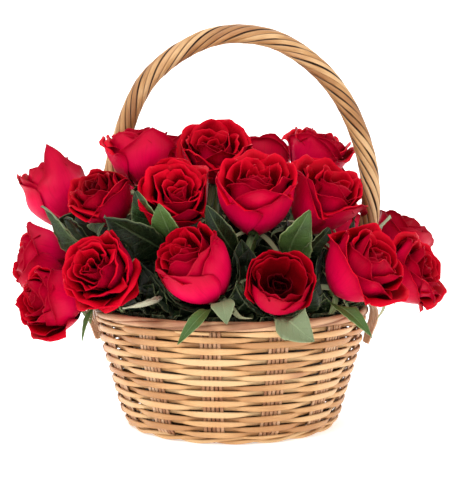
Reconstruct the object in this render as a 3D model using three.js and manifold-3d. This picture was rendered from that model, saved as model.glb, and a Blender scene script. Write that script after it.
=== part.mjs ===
// Red roses arranged in a round wicker basket with an arched, wrapped handle.
// Millimetres, +Z up. The origin is the middle of the basket's flat underside,
// the front faces -Y and the handle stands nearly over the X axis.

import * as THREE from 'three';
import { mergeVertices } from 'three/addons/utils/BufferGeometryUtils.js';
import Module from 'manifold-3d';

const wasm = await Module();
wasm.setup();

// ---------------------------------------------------------------- dimensions

const gap = 0.4; // air left between touching pieces

const basket = {
  stakes: 13, // an odd number, so one weaver changes sides on every turn
  stakeWidth: 17,
  stakeThickness: 2.6,
  firstStake: -98.7, // degrees, the stake just left of the middle of the front
  baseThickness: 4,
  // radius of the wall's middle surface at these heights
  wall: [
    [0, 84],
    [4, 88],
    [10, 91],
    [26, 95.5],
    [47, 101.5],
    [69, 108],
    [86, 111.5],
    [102, 113],
  ],
};

const weave = {
  rows: 19,
  pitch: 4.37,
  bottom: 8.6, // middle height of the weaver where it starts
  height: 4,
  thickness: 2,
  slack: 0.35, // room between weaver and stake beyond the gap
  crossing: 5.5, // degrees to each side of a stake's middle where the weaver lies flat on it
};

const rim = { radius: 113, height: 7.6, thickness: 9, bottom: 94.4, sides: 6, steps: 30, turns: 6 };

const handle = {
  turn: -6, // degrees about Z, so that the right foot stands nearer the front
  radius: 8.1,
  ridge: 0.9, // how far the wrapping's ridges stand out
  twist: -30, // sides of the section that the ridges pass along the arch, against the clock
  coreRadius: 4.6,
  sides: 6,
  steps: 30,
  // the arch's middle line in its own plane, from the left foot to the right one
  arch: [
    [-94, 92],
    [-96, 112],
    [-108, 165],
    [-99, 228],
    [-73, 291],
    [-31, 323],
    [5, 331],
    [45, 322],
    [86, 288],
    [112, 235],
    [118, 180],
    [98, 112],
    [94, 92],
  ],
  footBottom: 44, // the bare core ends here, inside the wall
  footX: 88,
};

const lashing = { width: 13, thickness: 2.2, outerThickness: 9, outerBottom: 69, innerBottom: 94.6 };

const liner = { bottomRadius: 70, topRadius: 84, bottom: 4.5, top: 88, wall: 1.2, sides: 18 };

const foam = { shoulder: 92, top: 103, topRadius: 58, holeDepth: 26, holeExtra: 1.5 };

const stem = {
  radius: 2.2,
  sides: 5,
  bends: 4,
  clear: 3.5, // room kept from other blooms, the rim and the handle
  rise: 0.6, // how much a stem's foot is turned upwards
  lift: 0.35, // reach of the curve's pull at the foam, as a share of the stem's length
  neck: 0.3, // reach of its pull under the bloom
};
const leafShape = { stalk: 0.3, thickness: 1.2, bow: 0.12, fold: 0.25, clear: 2.5 };
const calyxShape = { hip: 5.4, sepal: 0.6 }; // sepals' length as a share of the bloom's height
const press = { start: 0.72, reach: 1.5 }; // shares of a bloom's radius where neighbours press on it
const bloomRadius = 27; // of a rose of size 1, without its curled lips
const bloomHeight = 46;

// Whorls of petals, from the outside in: how many petals, where the first one starts (as a share
// of a petal), and how much lower a petal's shoulders are than its middle.
const whorls = [
  { petals: 5, start: 0, shoulder: 0.2, overlap: 0.075 },
  { petals: 5, start: 0.5, shoulder: 0.14, overlap: 0.05 },
  { petals: 3, start: 0.2, shoulder: 0.16, overlap: 0.04 },
  { petals: 3, start: 0.7, shoulder: 0.12, overlap: 0.03 },
];

// A bloom's profile from its base over each whorl's lip into its heart. Radius and height are
// shares of the bloom's own; curl is how far the middle of a petal's lip rolls outwards.
const bloomProfile = [
  { r: 0.38, z: 0.05, whorl: 0 },
  { r: 0.76, z: 0.27, whorl: 0 },
  { r: 0.95, z: 0.6, whorl: 0 },
  { r: 1.02, z: 0.95, whorl: 0, lip: true, curl: 0.2 },
  { r: 0.84, z: 0.56, whorl: 0 },
  { r: 0.79, z: 0.99, whorl: 1, lip: true, curl: 0.1 },
  { r: 0.6, z: 0.64, whorl: 1 },
  { r: 0.53, z: 1.03, whorl: 2, lip: true, curl: 0.05 },
  { r: 0.36, z: 0.72, whorl: 2 },
  { r: 0.28, z: 1.04, whorl: 3, lip: true, curl: 0 },
];
const bloomColumns = 15;
const bloomPit = 0.8; // height of the middle of the heart, as a share

// The roses: middle of the bloom, the way it faces, and its size. A few are taller or flatter than
// their size.
const roses = [
  { name: 'left_high', at: [-153, 36, 192], faces: [-0.42, 0.12, 0.9], size: 1.08, tall: 1.15 },
  { name: 'left_inner', at: [-102, -48, 191], faces: [-0.45, -0.5, 0.72], size: 0.9 },
  { name: 'left_top', at: [-77, -27, 225], faces: [-0.08, 0.05, 1], size: 0.92, tall: 1.1 },
  { name: 'crown', at: [-14, 16, 225], faces: [0.02, -0.62, 0.78], size: 1 },
  { name: 'front_top_left', at: [-45, -56, 193], faces: [0.08, -0.74, 0.62], size: 1 },
  { name: 'front_top', at: [19, -66, 193], faces: [0.02, -0.42, 0.9], size: 1.16, tall: 1.05 },
  { name: 'front_top_right', at: [72, -46, 190], faces: [0.38, -0.45, 0.8], size: 1.07, tall: 1.1 },
  { name: 'right_top', at: [73, 20, 226], faces: [0.3, -0.05, 0.95], size: 0.95 },
  { name: 'back_top_right', at: [28, 74, 219], faces: [0.1, 0.3, 0.9], size: 0.95 },
  { name: 'back_top_left', at: [-52, 64, 218], faces: [-0.12, 0.3, 0.95], size: 0.95 },
  { name: 'left_far', at: [-159, -2, 140], faces: [-0.92, -0.12, 0.22], size: 0.95 },
  { name: 'left_low', at: [-143, -50, 110], faces: [-0.82, -0.55, 0.1], size: 1 },
  { name: 'front_left', at: [-99, -88, 136], faces: [-0.36, -0.8, 0.42], size: 0.98 },
  { name: 'front_mid', at: [-25, -96, 139], faces: [-0.5, -0.5, 0.68], size: 1.1, tall: 1.1 },
  { name: 'front_low', at: [36, -106, 128], faces: [0.04, -0.85, 0.5], size: 0.94, tall: 0.84 },
  { name: 'front_right', at: [99, -78, 138], faces: [0.55, -0.5, 0.6], size: 1.12 },
  { name: 'right_far', at: [145, -36, 130], faces: [0.75, -0.45, 0.4], size: 0.97 },
  { name: 'right_high', at: [147, 30, 153], faces: [0.5, 0.1, 0.85], size: 0.86 },
  { name: 'right_inner', at: [82, 66, 196], faces: [0.3, 0.4, 0.85], size: 0.95 },
  { name: 'back_left', at: [-108, 80, 184], faces: [-0.45, 0.65, 0.65], size: 1 },
  { name: 'back_mid', at: [-14, 114, 184], faces: [-0.05, 0.7, 0.7], size: 1.02 },
  { name: 'back_right', at: [98, 102, 146], faces: [0.45, 0.75, 0.5], size: 1 },
  { name: 'back_low_left', at: [-78, 110, 138], faces: [-0.35, 0.85, 0.4], size: 1 },
  { name: 'back_low_mid', at: [20, 126, 132], faces: [0.1, 0.95, 0.25], size: 1 },
];

// Leaves: the rose whose stem carries it, the bend of that stem where its stalk starts, its tip, its
// width, whether its upper face looks up or out of the basket, and the point that it bends towards.
const leaves = [
  { stem: 'left_far', bend: 3, tip: [-157, -32, 187], width: 32, looks: 'out', via: [-122, -44, 160] },
  { stem: 'left_far', bend: 3, tip: [-141, -10, 176], width: 26, looks: 'out', via: [-118, -30, 164] },
  { stem: 'left_inner', bend: 3, tip: [-100, -70, 175], width: 26, looks: 'out', via: [-124, -60, 158] },
  { stem: 'front_top_left', bend: 3, tip: [-99, -94, 182], width: 38, looks: 'out', via: [-64, -88, 162] },
  { stem: 'front_top_left', bend: 3, tip: [-75, -84, 201], width: 33, looks: 'out', via: [-60, -84, 168] },
  { stem: 'front_top_left', bend: 3, tip: [-56, -103, 192], width: 25, looks: 'out', via: [-50, -99, 170] },
  { stem: 'front_top', bend: 3, tip: [-20, -92, 190], width: 21, looks: 'out', via: [-6, -90, 163] },
  { stem: 'front_top_right', bend: 3, tip: [61, -94, 186], width: 34, looks: 'out', via: [38, -90, 154] },
  { stem: 'front_top_right', bend: 3, tip: [77, -80, 172], width: 28, looks: 'out', via: [62, -80, 148] },
  { stem: 'right_far', bend: 3, tip: [97, -42, 187], width: 16, looks: 'out', via: [90, -50, 160] },
  { stem: 'right_far', bend: 3, tip: [130, -46, 179], width: 22, looks: 'out', via: [108, -40, 168] },
  { stem: 'front_left', bend: 2, tip: [-83, -120, 113], width: 17, looks: 'up', via: [-50, -122, 110] },
  { stem: 'front_mid', bend: 4, tip: [-41, -128, 87], width: 10, looks: 'out', via: [-22, -128, 112] },
  { stem: 'front_mid', bend: 4, tip: [-4, -126, 102], width: 18, looks: 'out', via: [-8, -124, 126] },
  { stem: 'front_low', bend: 3, tip: [63, -120, 88], width: 30, looks: 'out', via: [34, -126, 110] },
  { stem: 'front_right', bend: 3, tip: [108, -104, 88], width: 14, looks: 'out', via: [84, -104, 114] },
  { stem: 'left_low', bend: 4, tip: [-121, -64, 79], width: 9, looks: 'out', via: [-108, -70, 102] },
  { stem: 'back_left', bend: 3, tip: [-166, 84, 152], width: 31, looks: 'up' },
  { stem: 'back_low_left', bend: 2, tip: [-126, 118, 112], width: 30, looks: 'up' },
  { stem: 'back_low_left', bend: 3, tip: [-36, 148, 112], width: 29, looks: 'up' },
  { stem: 'back_mid', bend: 3, tip: [-62, 122, 172], width: 29, looks: 'out' },
  { stem: 'back_low_mid', bend: 3, tip: [66, 146, 108], width: 30, looks: 'up' },
  { stem: 'back_right', bend: 3, tip: [142, 92, 118], width: 30, looks: 'up' },
  { stem: 'right_high', bend: 3, tip: [140, 78, 142], width: 28, looks: 'up' },
  { stem: 'right_inner', bend: 3, tip: [58, 130, 168], width: 28, looks: 'out' },
];

const colours = {
  cane: 0xd3a064,
  stake: 0xb98450,
  wrapping: 0xc8924f,
  lashing: 0xb9875f,
  liner: 0x3a3d36,
  foam: 0x2f5134,
  petal: 0xc00422,
  stem: 0x3f5a32,
};

// ------------------------------------------------------------------- helpers

const radians = THREE.MathUtils.degToRad;
const vector = (x, y, z) => new THREE.Vector3(x, y, z);

function wallRadius(z) {
  const points = basket.wall;
  let i = 1;
  while (i < points.length - 1 && z > points[i][0]) i += 1;
  const [z0, r0] = points[i - 1];
  const [z1, r1] = points[i];
  return r0 + ((r1 - r0) * (z - z0)) / (z1 - z0);
}

function surfaceOf(positions, index) {
  const geometry = new THREE.BufferGeometry();
  geometry.setAttribute('position', new THREE.Float32BufferAttribute(positions, 3));
  geometry.setIndex(index);
  return geometry;
}

function middleOf(ring) {
  return ring.reduce((sum, p) => sum.add(p), vector(0, 0, 0)).divideScalar(ring.length);
}

// A closed body with rings of points along it; its ends are closed by fans round their middles,
// or round the two given tips.
function loft(rings, closedPath = false, tips = null) {
  const sides = rings[0].length;
  const positions = rings.flat().flatMap((p) => [p.x, p.y, p.z]);
  const index = [];
  const last = closedPath ? rings.length : rings.length - 1;
  for (let k = 0; k < last; k += 1) {
    const here = k * sides;
    const next = ((k + 1) % rings.length) * sides;
    for (let i = 0; i < sides; i += 1) {
      const j = (i + 1) % sides;
      index.push(here + i, here + j, next + j, here + i, next + j, next + i);
    }
  }
  if (!closedPath) {
    [rings[0], rings[rings.length - 1]].forEach((ring, end) => {
      const middle = tips ? tips[end] : middleOf(ring);
      const centre = positions.length / 3;
      const first = end === 0 ? 0 : (rings.length - 1) * sides;
      positions.push(middle.x, middle.y, middle.z);
      for (let i = 0; i < sides; i += 1) {
        const j = (i + 1) % sides;
        if (end === 0) index.push(centre, first + j, first + i);
        else index.push(centre, first + i, first + j);
      }
    });
  }
  return surfaceOf(positions, index);
}

// A thin blade with sharp edges. surface(a, b) gives its middle surface, a from -1 to 1 across
// it and b from 0 to 1 along it. Both faces are split into the same triangles.
function blade(surface, across, along, thickness) {
  const columns = across + 1;
  const middle = [];
  for (let j = 0; j <= along; j += 1) {
    for (let i = 0; i <= across; i += 1) middle.push(surface((2 * i) / across - 1, j / along));
  }
  const at = (i, j) => middle[j * columns + i];
  const positions = [];
  [1, -1].forEach((side) => {
    for (let j = 0; j <= along; j += 1) {
      for (let i = 0; i <= across; i += 1) {
        const point = at(i, j).clone();
        if (i > 0 && i < across && j > 0 && j < along) {
          const acrossIt = at(i + 1, j).clone().sub(at(i - 1, j));
          const alongIt = at(i, j + 1).clone().sub(at(i, j - 1));
          point.addScaledVector(acrossIt.cross(alongIt).normalize(), (side * thickness) / 2);
        }
        positions.push(point.x, point.y, point.z);
      }
    }
  });
  const index = [];
  const back = columns * (along + 1);
  for (let j = 0; j < along; j += 1) {
    for (let i = 0; i < across; i += 1) {
      const a = j * columns + i;
      const b = a + 1;
      const c = b + columns;
      const d = a + columns;
      // each quad is split from its middle outwards, so that the blade's corners bend freely
      const quad = i < across / 2 ? [a, b, c, a, c, d] : [a, b, d, b, c, d];
      index.push(...quad);
      for (let k = 0; k < 6; k += 3) index.push(back + quad[k], back + quad[k + 2], back + quad[k + 1]);
    }
  }
  return surfaceOf(positions, index);
}

// The geometry as a solid for cutting and joining, with its faces turned outwards.
function solid(geometry) {
  geometry.deleteAttribute('normal');
  geometry.deleteAttribute('uv');
  const merged = mergeVertices(geometry, 1e-4);
  const points = merged.getAttribute('position').array;
  const corners = merged.getIndex().array;
  const triangles = [];
  let volume = 0;
  const [a, b, c] = [vector(), vector(), vector()];
  for (let i = 0; i < corners.length; i += 3) {
    const [p, q, r] = [corners[i], corners[i + 1], corners[i + 2]];
    if (p === q || q === r || r === p) continue;
    a.fromArray(points, p * 3);
    b.fromArray(points, q * 3);
    c.fromArray(points, r * 3);
    volume += a.dot(b.cross(c));
    triangles.push(p, q, r);
  }
  if (volume < 0) triangles.reverse();
  return new wasm.Manifold(
    new wasm.Mesh({
      numProp: 3,
      vertProperties: new Float32Array(points),
      triVerts: new Uint32Array(triangles),
    }),
  );
}

function geometryOf(body) {
  const mesh = body.getMesh();
  return surfaceOf(Array.from(mesh.vertProperties), Array.from(mesh.triVerts));
}

// The largest connected body, which drops any scrap that a cut leaves loose.
function mainBody(body) {
  return body.decompose().sort((a, b) => b.volume() - a.volume())[0];
}

function fuse(bodies) {
  return bodies.reduce((whole, body) => whole.add(body));
}

function piece(name, geometry, colour, roughness) {
  geometry.computeVertexNormals();
  const material = new THREE.MeshStandardMaterial({ color: colour, roughness, metalness: 0 });
  const mesh = new THREE.Mesh(geometry, material);
  mesh.name = name;
  return mesh;
}

// Rings of points round a path, for a tube of any section; section(i, t) gives the radius
// of corner i at the share t of the path, and turned(t) the section's turn.
function tubeRings(path, steps, sides, section, turned = () => 0, even = true) {
  const rings = [];
  const up = vector(0, 1, 0);
  for (let k = 0; k <= steps; k += 1) {
    const t = k / steps;
    const centre = even ? path.getPointAt(t) : path.getPoint(t);
    const tangent = even ? path.getTangentAt(t) : path.getTangent(t);
    const sideways = up.clone().cross(tangent).normalize();
    const other = tangent.clone().cross(sideways);
    const ring = [];
    for (let i = 0; i < sides; i += 1) {
      const angle = (2 * Math.PI * i) / sides + turned(t);
      const radius = section(i, t);
      const point = centre.clone().addScaledVector(sideways, radius * Math.cos(angle));
      ring.push(point.addScaledVector(other, radius * Math.sin(angle)));
    }
    rings.push(ring);
  }
  return rings;
}

// ------------------------------------------------------------------ the wicker

// One stake: a flat strip from under the base's edge up the wall to just under the rim.
function stake(angle) {
  const heights = [1.2, 10, 26, 47, 69, rim.bottom - gap];
  const rings = heights.map((z) => {
    const radius = z < 5 ? basket.wall[0][1] - 4 : wallRadius(z);
    const half = basket.stakeThickness / 2;
    const corners = [
      [radius + half, -basket.stakeWidth / 2],
      [radius + half, basket.stakeWidth / 2],
      [radius - half, basket.stakeWidth / 2],
      [radius - half, -basket.stakeWidth / 2],
    ];
    return corners.map(([r, w]) => vector(r, w, z).applyAxisAngle(vector(0, 0, 1), angle));
  });
  return solid(loft(rings));
}

function baseAndStakes() {
  const edge = basket.wall[0][1];
  const profile = [
    [0, 0],
    [edge - 4, 0],
    [edge, 1.6],
    [edge + 2.5, basket.baseThickness],
    [0, basket.baseThickness],
  ].map(([r, z]) => new THREE.Vector2(r, z));
  const disc = new THREE.LatheGeometry(profile, basket.stakes * 2);
  disc.rotateX(Math.PI / 2);
  const stakes = [];
  for (let k = 0; k < basket.stakes; k += 1) {
    stakes.push(stake(radians(basket.firstStake + (360 * k) / basket.stakes)));
  }
  return geometryOf(fuse([solid(disc), ...stakes]));
}

// One long splint wound up the wall in a spiral, outside one stake and inside the next.
function weaver() {
  const reach = basket.stakeThickness / 2 + weave.thickness / 2 + gap + weave.slack;
  const rings = [];
  const stakesPassed = basket.stakes * weave.rows;
  for (let k = 0; k < stakesPassed; k += 1) {
    [-weave.crossing, weave.crossing].forEach((offset) => {
      const turn = k / basket.stakes + offset / 360;
      const angle = radians(basket.firstStake) + 2 * Math.PI * turn;
      const z = weave.bottom + weave.pitch * turn;
      const side = k % 2 === 0 ? 1 : -1;
      const middle = wallRadius(z) + side * reach;
      const lean = (wallRadius(z + 1) - wallRadius(z - 1)) / 2;
      const half = weave.thickness / 2;
      const corners = [
        [half, 0],
        [-half, weave.height / 2],
        [-half, -weave.height / 2],
      ];
      const out = vector(Math.cos(angle), Math.sin(angle), 0);
      rings.push(
        corners.map(([r, h]) => {
          const point = out.clone().multiplyScalar(middle + r + h * lean);
          point.z = z + h;
          return point;
        }),
      );
    });
  }
  return loft(rings);
}

// The border that closes the wall: strands twisted into one round ring.
function rimBorder() {
  const rings = [];
  for (let k = 0; k < rim.steps; k += 1) {
    const round = (2 * Math.PI * k) / rim.steps;
    const ring = [];
    for (let i = 0; i < rim.sides; i += 1) {
      const angle = (2 * Math.PI * i) / rim.sides + (2 * round * rim.turns) / rim.sides;
      const bulge = i % 2 === 0 ? 1 : 0.84;
      const radius = rim.radius + (rim.thickness / 2) * bulge * Math.cos(angle);
      const z = rim.bottom + rim.height / 2 + (rim.height / 2) * bulge * Math.sin(angle);
      ring.push(vector(radius * Math.cos(round), radius * Math.sin(round), z));
    }
    rings.push(ring);
  }
  return loft(rings, true);
}

// ------------------------------------------------------------------ the handle

const archPath = new THREE.CatmullRomCurve3(handle.arch.map(([x, z]) => vector(x, 0, z)));

// The bare hoop inside the wrapping, whose ends reach down inside the wall.
function handleCore() {
  const hoop = tubeRings(archPath, handle.steps, handle.sides, () => handle.coreRadius);
  const foot = (ring, x, z) => {
    const middle = middleOf(ring);
    return ring.map((p) => p.clone().add(vector(x - middle.x, 0, z - middle.z)));
  };
  const left = foot(hoop[0], -handle.footX, handle.footBottom);
  const right = foot(hoop[hoop.length - 1], handle.footX, handle.footBottom);
  return loft([left, ...hoop, right]);
}

// The wrapping: a sleeve of wound splints with ridges that run round it as a screw.
function handleWrapping() {
  const turned = (t) => (2 * Math.PI * handle.twist * t) / handle.sides;
  const ridge = (i) => handle.radius + (i % 2 === 0 ? handle.ridge / 2 : -handle.ridge / 2);
  const outer = tubeRings(archPath, handle.steps, handle.sides, ridge, turned);
  const bore = tubeRings(archPath, handle.steps, handle.sides, () => handle.coreRadius + gap);
  return loft([...outer, ...bore.reverse()], true);
}

// The strips of cane bent over the rim where the handle's foot stands, as one bundle that is
// thicker outside the rim.
function lashingStrip(side) {
  const outside = rim.radius + rim.thickness / 2 + gap;
  const inside = rim.radius - rim.thickness / 2 - gap;
  const top = rim.bottom + rim.height + gap;
  const t = lashing.thickness;
  const hugging = wallRadius(lashing.outerBottom) + 2 * weave.thickness + gap * 3;
  const outline = new THREE.Shape();
  outline.moveTo(hugging, lashing.outerBottom);
  outline.lineTo(hugging + lashing.outerThickness * 0.7, lashing.outerBottom);
  outline.lineTo(outside + lashing.outerThickness, 90);
  outline.lineTo(outside + lashing.outerThickness, top - 3);
  outline.lineTo(outside, top + t);
  outline.lineTo(inside, top + t);
  outline.lineTo(inside - t, top);
  outline.lineTo(inside - t, lashing.innerBottom);
  outline.lineTo(inside, lashing.innerBottom);
  outline.lineTo(inside, top);
  outline.lineTo(outside, top);
  const strip = new THREE.ExtrudeGeometry(outline, { depth: lashing.width, bevelEnabled: false });
  strip.translate(0, 0, -lashing.width / 2);
  strip.rotateX(Math.PI / 2);
  if (side < 0) strip.rotateZ(Math.PI);
  return geometryOf(solid(strip));
}

// Points along the handle's middle line, close together, where it stands on the basket.
const handleLine = archPath
  .getSpacedPoints(90)
  .map((point) => point.applyAxisAngle(vector(0, 0, 1), radians(handle.turn)));

// ------------------------------------------------------- the liner and the foam

function linerBowl() {
  const { bottomRadius, topRadius, bottom, top, wall } = liner;
  const profile = [
    [0, bottom],
    [bottomRadius, bottom],
    [topRadius, top],
    [topRadius - wall, top],
    [bottomRadius - wall, bottom + wall],
    [0, bottom + wall],
  ].map(([r, z]) => new THREE.Vector2(r, z));
  const bowl = new THREE.LatheGeometry(profile, liner.sides);
  bowl.rotateX(Math.PI / 2);
  return geometryOf(solid(bowl));
}

function foamBlock(holes) {
  const clear = liner.wall + gap + 0.6;
  const profile = [
    [0, liner.bottom + liner.wall + gap],
    [liner.bottomRadius - clear, liner.bottom + liner.wall + gap],
    [liner.topRadius - clear, foam.shoulder],
    [foam.topRadius, foam.top],
    [0, foam.top],
  ].map(([r, z]) => new THREE.Vector2(r, z));
  const block = new THREE.LatheGeometry(profile, liner.sides);
  block.rotateX(Math.PI / 2);
  let body = solid(block);
  holes.forEach((hole) => {
    body = body.subtract(hole);
  });
  return geometryOf(mainBody(body));
}

// -------------------------------------------------------------------- the roses

roses.forEach((rose) => {
  rose.centre = vector(...rose.at);
  rose.axis = vector(...rose.faces).normalize();
  rose.radius = bloomRadius * rose.size;
  rose.height = bloomHeight * rose.size * (rose.tall ?? 1);
  rose.base = rose.centre.clone().addScaledVector(rose.axis, -rose.height * 0.5);
});

// Neighbours press on each other: a point that nears the plane between two blooms is eased
// back, so that it never reaches that plane.
function pressed(point, rose) {
  for (let pass = 0; pass < 2; pass += 1) {
    roses.forEach((other) => {
      if (other === rose) return;
      const towards = other.centre.clone().sub(rose.centre);
      const distance = towards.length();
      const limit = (distance * rose.radius) / (rose.radius + other.radius) - gap;
      if (limit > rose.radius * press.reach) return;
      towards.divideScalar(distance);
      const reach = point.clone().sub(rose.centre).dot(towards);
      const start = limit * press.start;
      if (reach <= start) return;
      const eased = start + (limit - start) * (1 - Math.exp(-(reach - start) / (limit - start)));
      point.addScaledVector(towards, eased - reach);
    });
  }
  return point;
}

// A frame with Z along the rose's axis, standing on the bloom's base.
function bloomFrame(rose, turn) {
  const frame = new THREE.Matrix4();
  const turned = new THREE.Quaternion().setFromUnitVectors(vector(0, 0, 1), rose.axis);
  turned.multiply(new THREE.Quaternion().setFromAxisAngle(vector(0, 0, 1), turn));
  return frame.compose(rose.base, turned, vector(1, 1, 1));
}

// A bloom: whorls of petals that lap over each other like tiles, each with its lip apart from
// the next whorl by a deep fold.
function bloom(rose, order) {
  const frame = bloomFrame(rose, order * 0.9);
  const rings = bloomProfile.map((row) => {
    const whorl = whorls[row.whorl];
    const ring = [];
    for (let i = 0; i < bloomColumns; i += 1) {
      const angle = (2 * Math.PI * i) / bloomColumns;
      const share = (whorl.petals * (i + 0.5)) / bloomColumns + whorl.start;
      const across = 2 * (share - Math.floor(share)) - 1;
      const middle = 1 - across * across;
      const r = row.r + whorl.overlap * across + (row.curl ?? 0) * middle;
      const z = row.lip ? row.z * (1 - whorl.shoulder * (1 - middle)) : row.z;
      const point = vector(Math.cos(angle), Math.sin(angle), 0).multiplyScalar(r * rose.radius);
      point.z = z * rose.height;
      ring.push(pressed(point.applyMatrix4(frame), rose));
    }
    return ring;
  });
  const bottom = vector(0, 0, 0).applyMatrix4(frame);
  const pit = vector(0, 0, bloomPit * rose.height).applyMatrix4(frame);
  return geometryOf(solid(loft(rings, false, [bottom, pit])));
}

// -------------------------------------------------------------- stems and leaves

// Bends a point clear of every bloom but its own, of the foam, of the rim and of the handle.
function bentClear(point, own, room) {
  roses.forEach((rose) => {
    if (rose === own) return;
    const away = point.clone().sub(rose.centre);
    const need = rose.radius + room;
    if (away.length() < need) point.copy(rose.centre).addScaledVector(away.normalize(), need);
  });
  const outside = rim.radius + rim.thickness / 2 + room + 2;
  const above = Math.max(foam.top, rim.bottom + rim.height) + room;
  if (Math.hypot(point.x, point.y) < outside && point.z < above) point.z = above;
  handleLine.forEach((centre) => {
    const away = point.clone().sub(centre);
    const need = handle.radius + room + 1;
    if (away.length() < need) point.copy(centre).addScaledVector(away.normalize(), need);
  });
  return point;
}

// Where a rose's stem enters the foam, and the way it goes in.
function foamEntry(rose) {
  const flat = Math.hypot(rose.centre.x, rose.centre.y);
  const lowness = (240 - rose.centre.z) / 130; // low roses stand near the foam's edge
  const r = Math.min(flat * 0.6, 16 + 54 * lowness);
  const entry = vector((rose.centre.x * r) / flat, (rose.centre.y * r) / flat, 0);
  const slope = (foam.top - foam.shoulder) / (liner.topRadius - 2 - foam.topRadius);
  const radius = Math.hypot(entry.x, entry.y);
  entry.z = foam.top - Math.max(0, radius - foam.topRadius) * slope;
  const way = rose.base.clone().sub(entry).normalize().add(vector(0, 0, stem.rise)).normalize();
  return { entry, way };
}

function stemPath(rose) {
  const { entry, way } = foamEntry(rose);
  const foot = rose.base.clone().addScaledVector(rose.axis, -3);
  const length = foot.distanceTo(entry);
  const arc = new THREE.CubicBezierCurve3(
    entry,
    entry.clone().addScaledVector(way, length * stem.lift),
    foot.clone().addScaledVector(rose.axis, -length * stem.neck),
    foot,
  );
  const points = [entry.clone().addScaledVector(way, -foam.holeDepth), entry.clone().addScaledVector(way, 3)];
  for (let k = 1; k < stem.bends; k += 1) {
    points.push(bentClear(arc.getPoint(k / stem.bends), rose, stem.radius + stem.clear));
  }
  points.push(foot);
  return new THREE.CatmullRomCurve3(points, false, 'centripetal');
}

function stemHole(rose) {
  const { entry, way } = foamEntry(rose);
  const path = new THREE.LineCurve3(
    entry.clone().addScaledVector(way, -foam.holeDepth - 2),
    entry.clone().addScaledVector(way, 9),
  );
  return solid(loft(tubeRings(path, 1, 4, () => stem.radius + foam.holeExtra)));
}

function stemRod(rose) {
  const path = stemPath(rose);
  const steps = path.points.length - 1; // a ring at each of the path's own points
  const rings = tubeRings(path, steps, stem.sides, () => stem.radius, undefined, false);
  return solid(loft(rings));
}

// The hip under the bloom, with five pointed sepals that spread from it as a star.
function calyx(rose, order) {
  const frame = bloomFrame(rose, order * 0.55 + 0.4);
  const place = (r, z, angle) => vector(r * Math.cos(angle), r * Math.sin(angle), z).applyMatrix4(frame);
  const length = rose.height * calyxShape.sepal;
  const rows = [
    [calyxShape.hip * 0.6, -8],
    [calyxShape.hip, -3.4],
    [null, null],
    [calyxShape.hip, -gap * 2],
  ];
  const rings = rows.map(([r, z]) => {
    const ring = [];
    for (let i = 0; i < 10; i += 1) {
      const angle = (2 * Math.PI * i) / 10;
      if (r !== null) ring.push(place(r, z, angle));
      else if (i % 2 === 1) ring.push(place(calyxShape.hip * 1.15, -2, angle));
      else {
        const droop = 0.2 + 0.5 * Math.abs(Math.sin(order * 2.1 + i * 1.7));
        ring.push(bentClear(place(length * (1 - droop * 0.3), -length * droop, angle), rose, 2));
      }
    }
    return ring;
  });
  return solid(loft(rings));
}

// A leaf on a thin stalk that starts inside the stem. It folds along its rib and arches over, and
// its middle line bends towards the point it is given.
function leafBlade(leaf) {
  const rose = roses.find(({ name }) => name === leaf.stem);
  const root = stemPath(rose).points[leaf.bend];
  const tip = vector(...leaf.tip);
  const via = leaf.via ? vector(...leaf.via) : root.clone().lerp(tip, 0.5);
  const middle = new THREE.QuadraticBezierCurve3(root, via, tip);
  const reach = tip.clone().sub(via).multiplyScalar(2);
  const looks = leaf.looks === 'up' ? vector(0, 0, 1) : vector(tip.x, tip.y, 0).normalize();
  const across = reach.clone().cross(looks).normalize();
  const normal = across.clone().cross(reach).normalize();
  const surface = (a, b) => {
    const open = Math.max(0, (b - leafShape.stalk) / (1 - leafShape.stalk));
    const outline = Math.pow(Math.sin(Math.PI * Math.pow(open, 0.75)), 0.85);
    const width = Math.max((leaf.width / 2) * outline, b < 1 ? 1 : 0);
    const arch = leafShape.bow * reach.length() * Math.sin(Math.PI * b);
    const fold = leafShape.fold * width * (1 - Math.abs(a));
    const point = middle.getPoint(b);
    point.addScaledVector(across, a * width).addScaledVector(normal, arch - fold);
    return b > 0.1 ? bentClear(point, null, leafShape.clear) : point;
  };
  return solid(blade(surface, 2, 5, leafShape.thickness));
}

function leafyStem(rose, order) {
  const own = leaves.filter((leaf) => leaf.stem === rose.name);
  const bodies = [stemRod(rose), calyx(rose, order), ...own.map(leafBlade)];
  return geometryOf(mainBody(fuse(bodies)));
}

// --------------------------------------------------------------------- the whole

const arrangement = new THREE.Group();

arrangement.add(piece('base_and_stakes', baseAndStakes(), colours.stake, 0.7));
arrangement.add(piece('weaver', geometryOf(solid(weaver())), colours.cane, 0.6));
arrangement.add(piece('rim_border', geometryOf(solid(rimBorder())), colours.cane, 0.6));

const handleGroup = new THREE.Group();
handleGroup.rotation.z = radians(handle.turn);
handleGroup.add(piece('handle_core', geometryOf(solid(handleCore())), colours.stake, 0.7));
handleGroup.add(piece('handle_wrapping', geometryOf(solid(handleWrapping())), colours.wrapping, 0.6));
handleGroup.add(piece('lashing_left', lashingStrip(-1), colours.lashing, 0.7));
handleGroup.add(piece('lashing_right', lashingStrip(1), colours.lashing, 0.7));
arrangement.add(handleGroup);

arrangement.add(piece('liner', linerBowl(), colours.liner, 0.4));
arrangement.add(piece('foam', foamBlock(roses.map(stemHole)), colours.foam, 0.95));

roses.forEach((rose, order) => {
  arrangement.add(piece(`stem_${rose.name}`, leafyStem(rose, order), colours.stem, 0.6));
  arrangement.add(piece(`rose_${rose.name}`, bloom(rose, order), colours.petal, 0.55));
});

export default arrangement;
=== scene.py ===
import itertools
import random
from math import atan2, copysign, cos, exp, hypot, pi, radians, sin, tanh

import bmesh
import bpy
from mathutils import Matrix, Quaternion, Vector, noise


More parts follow.
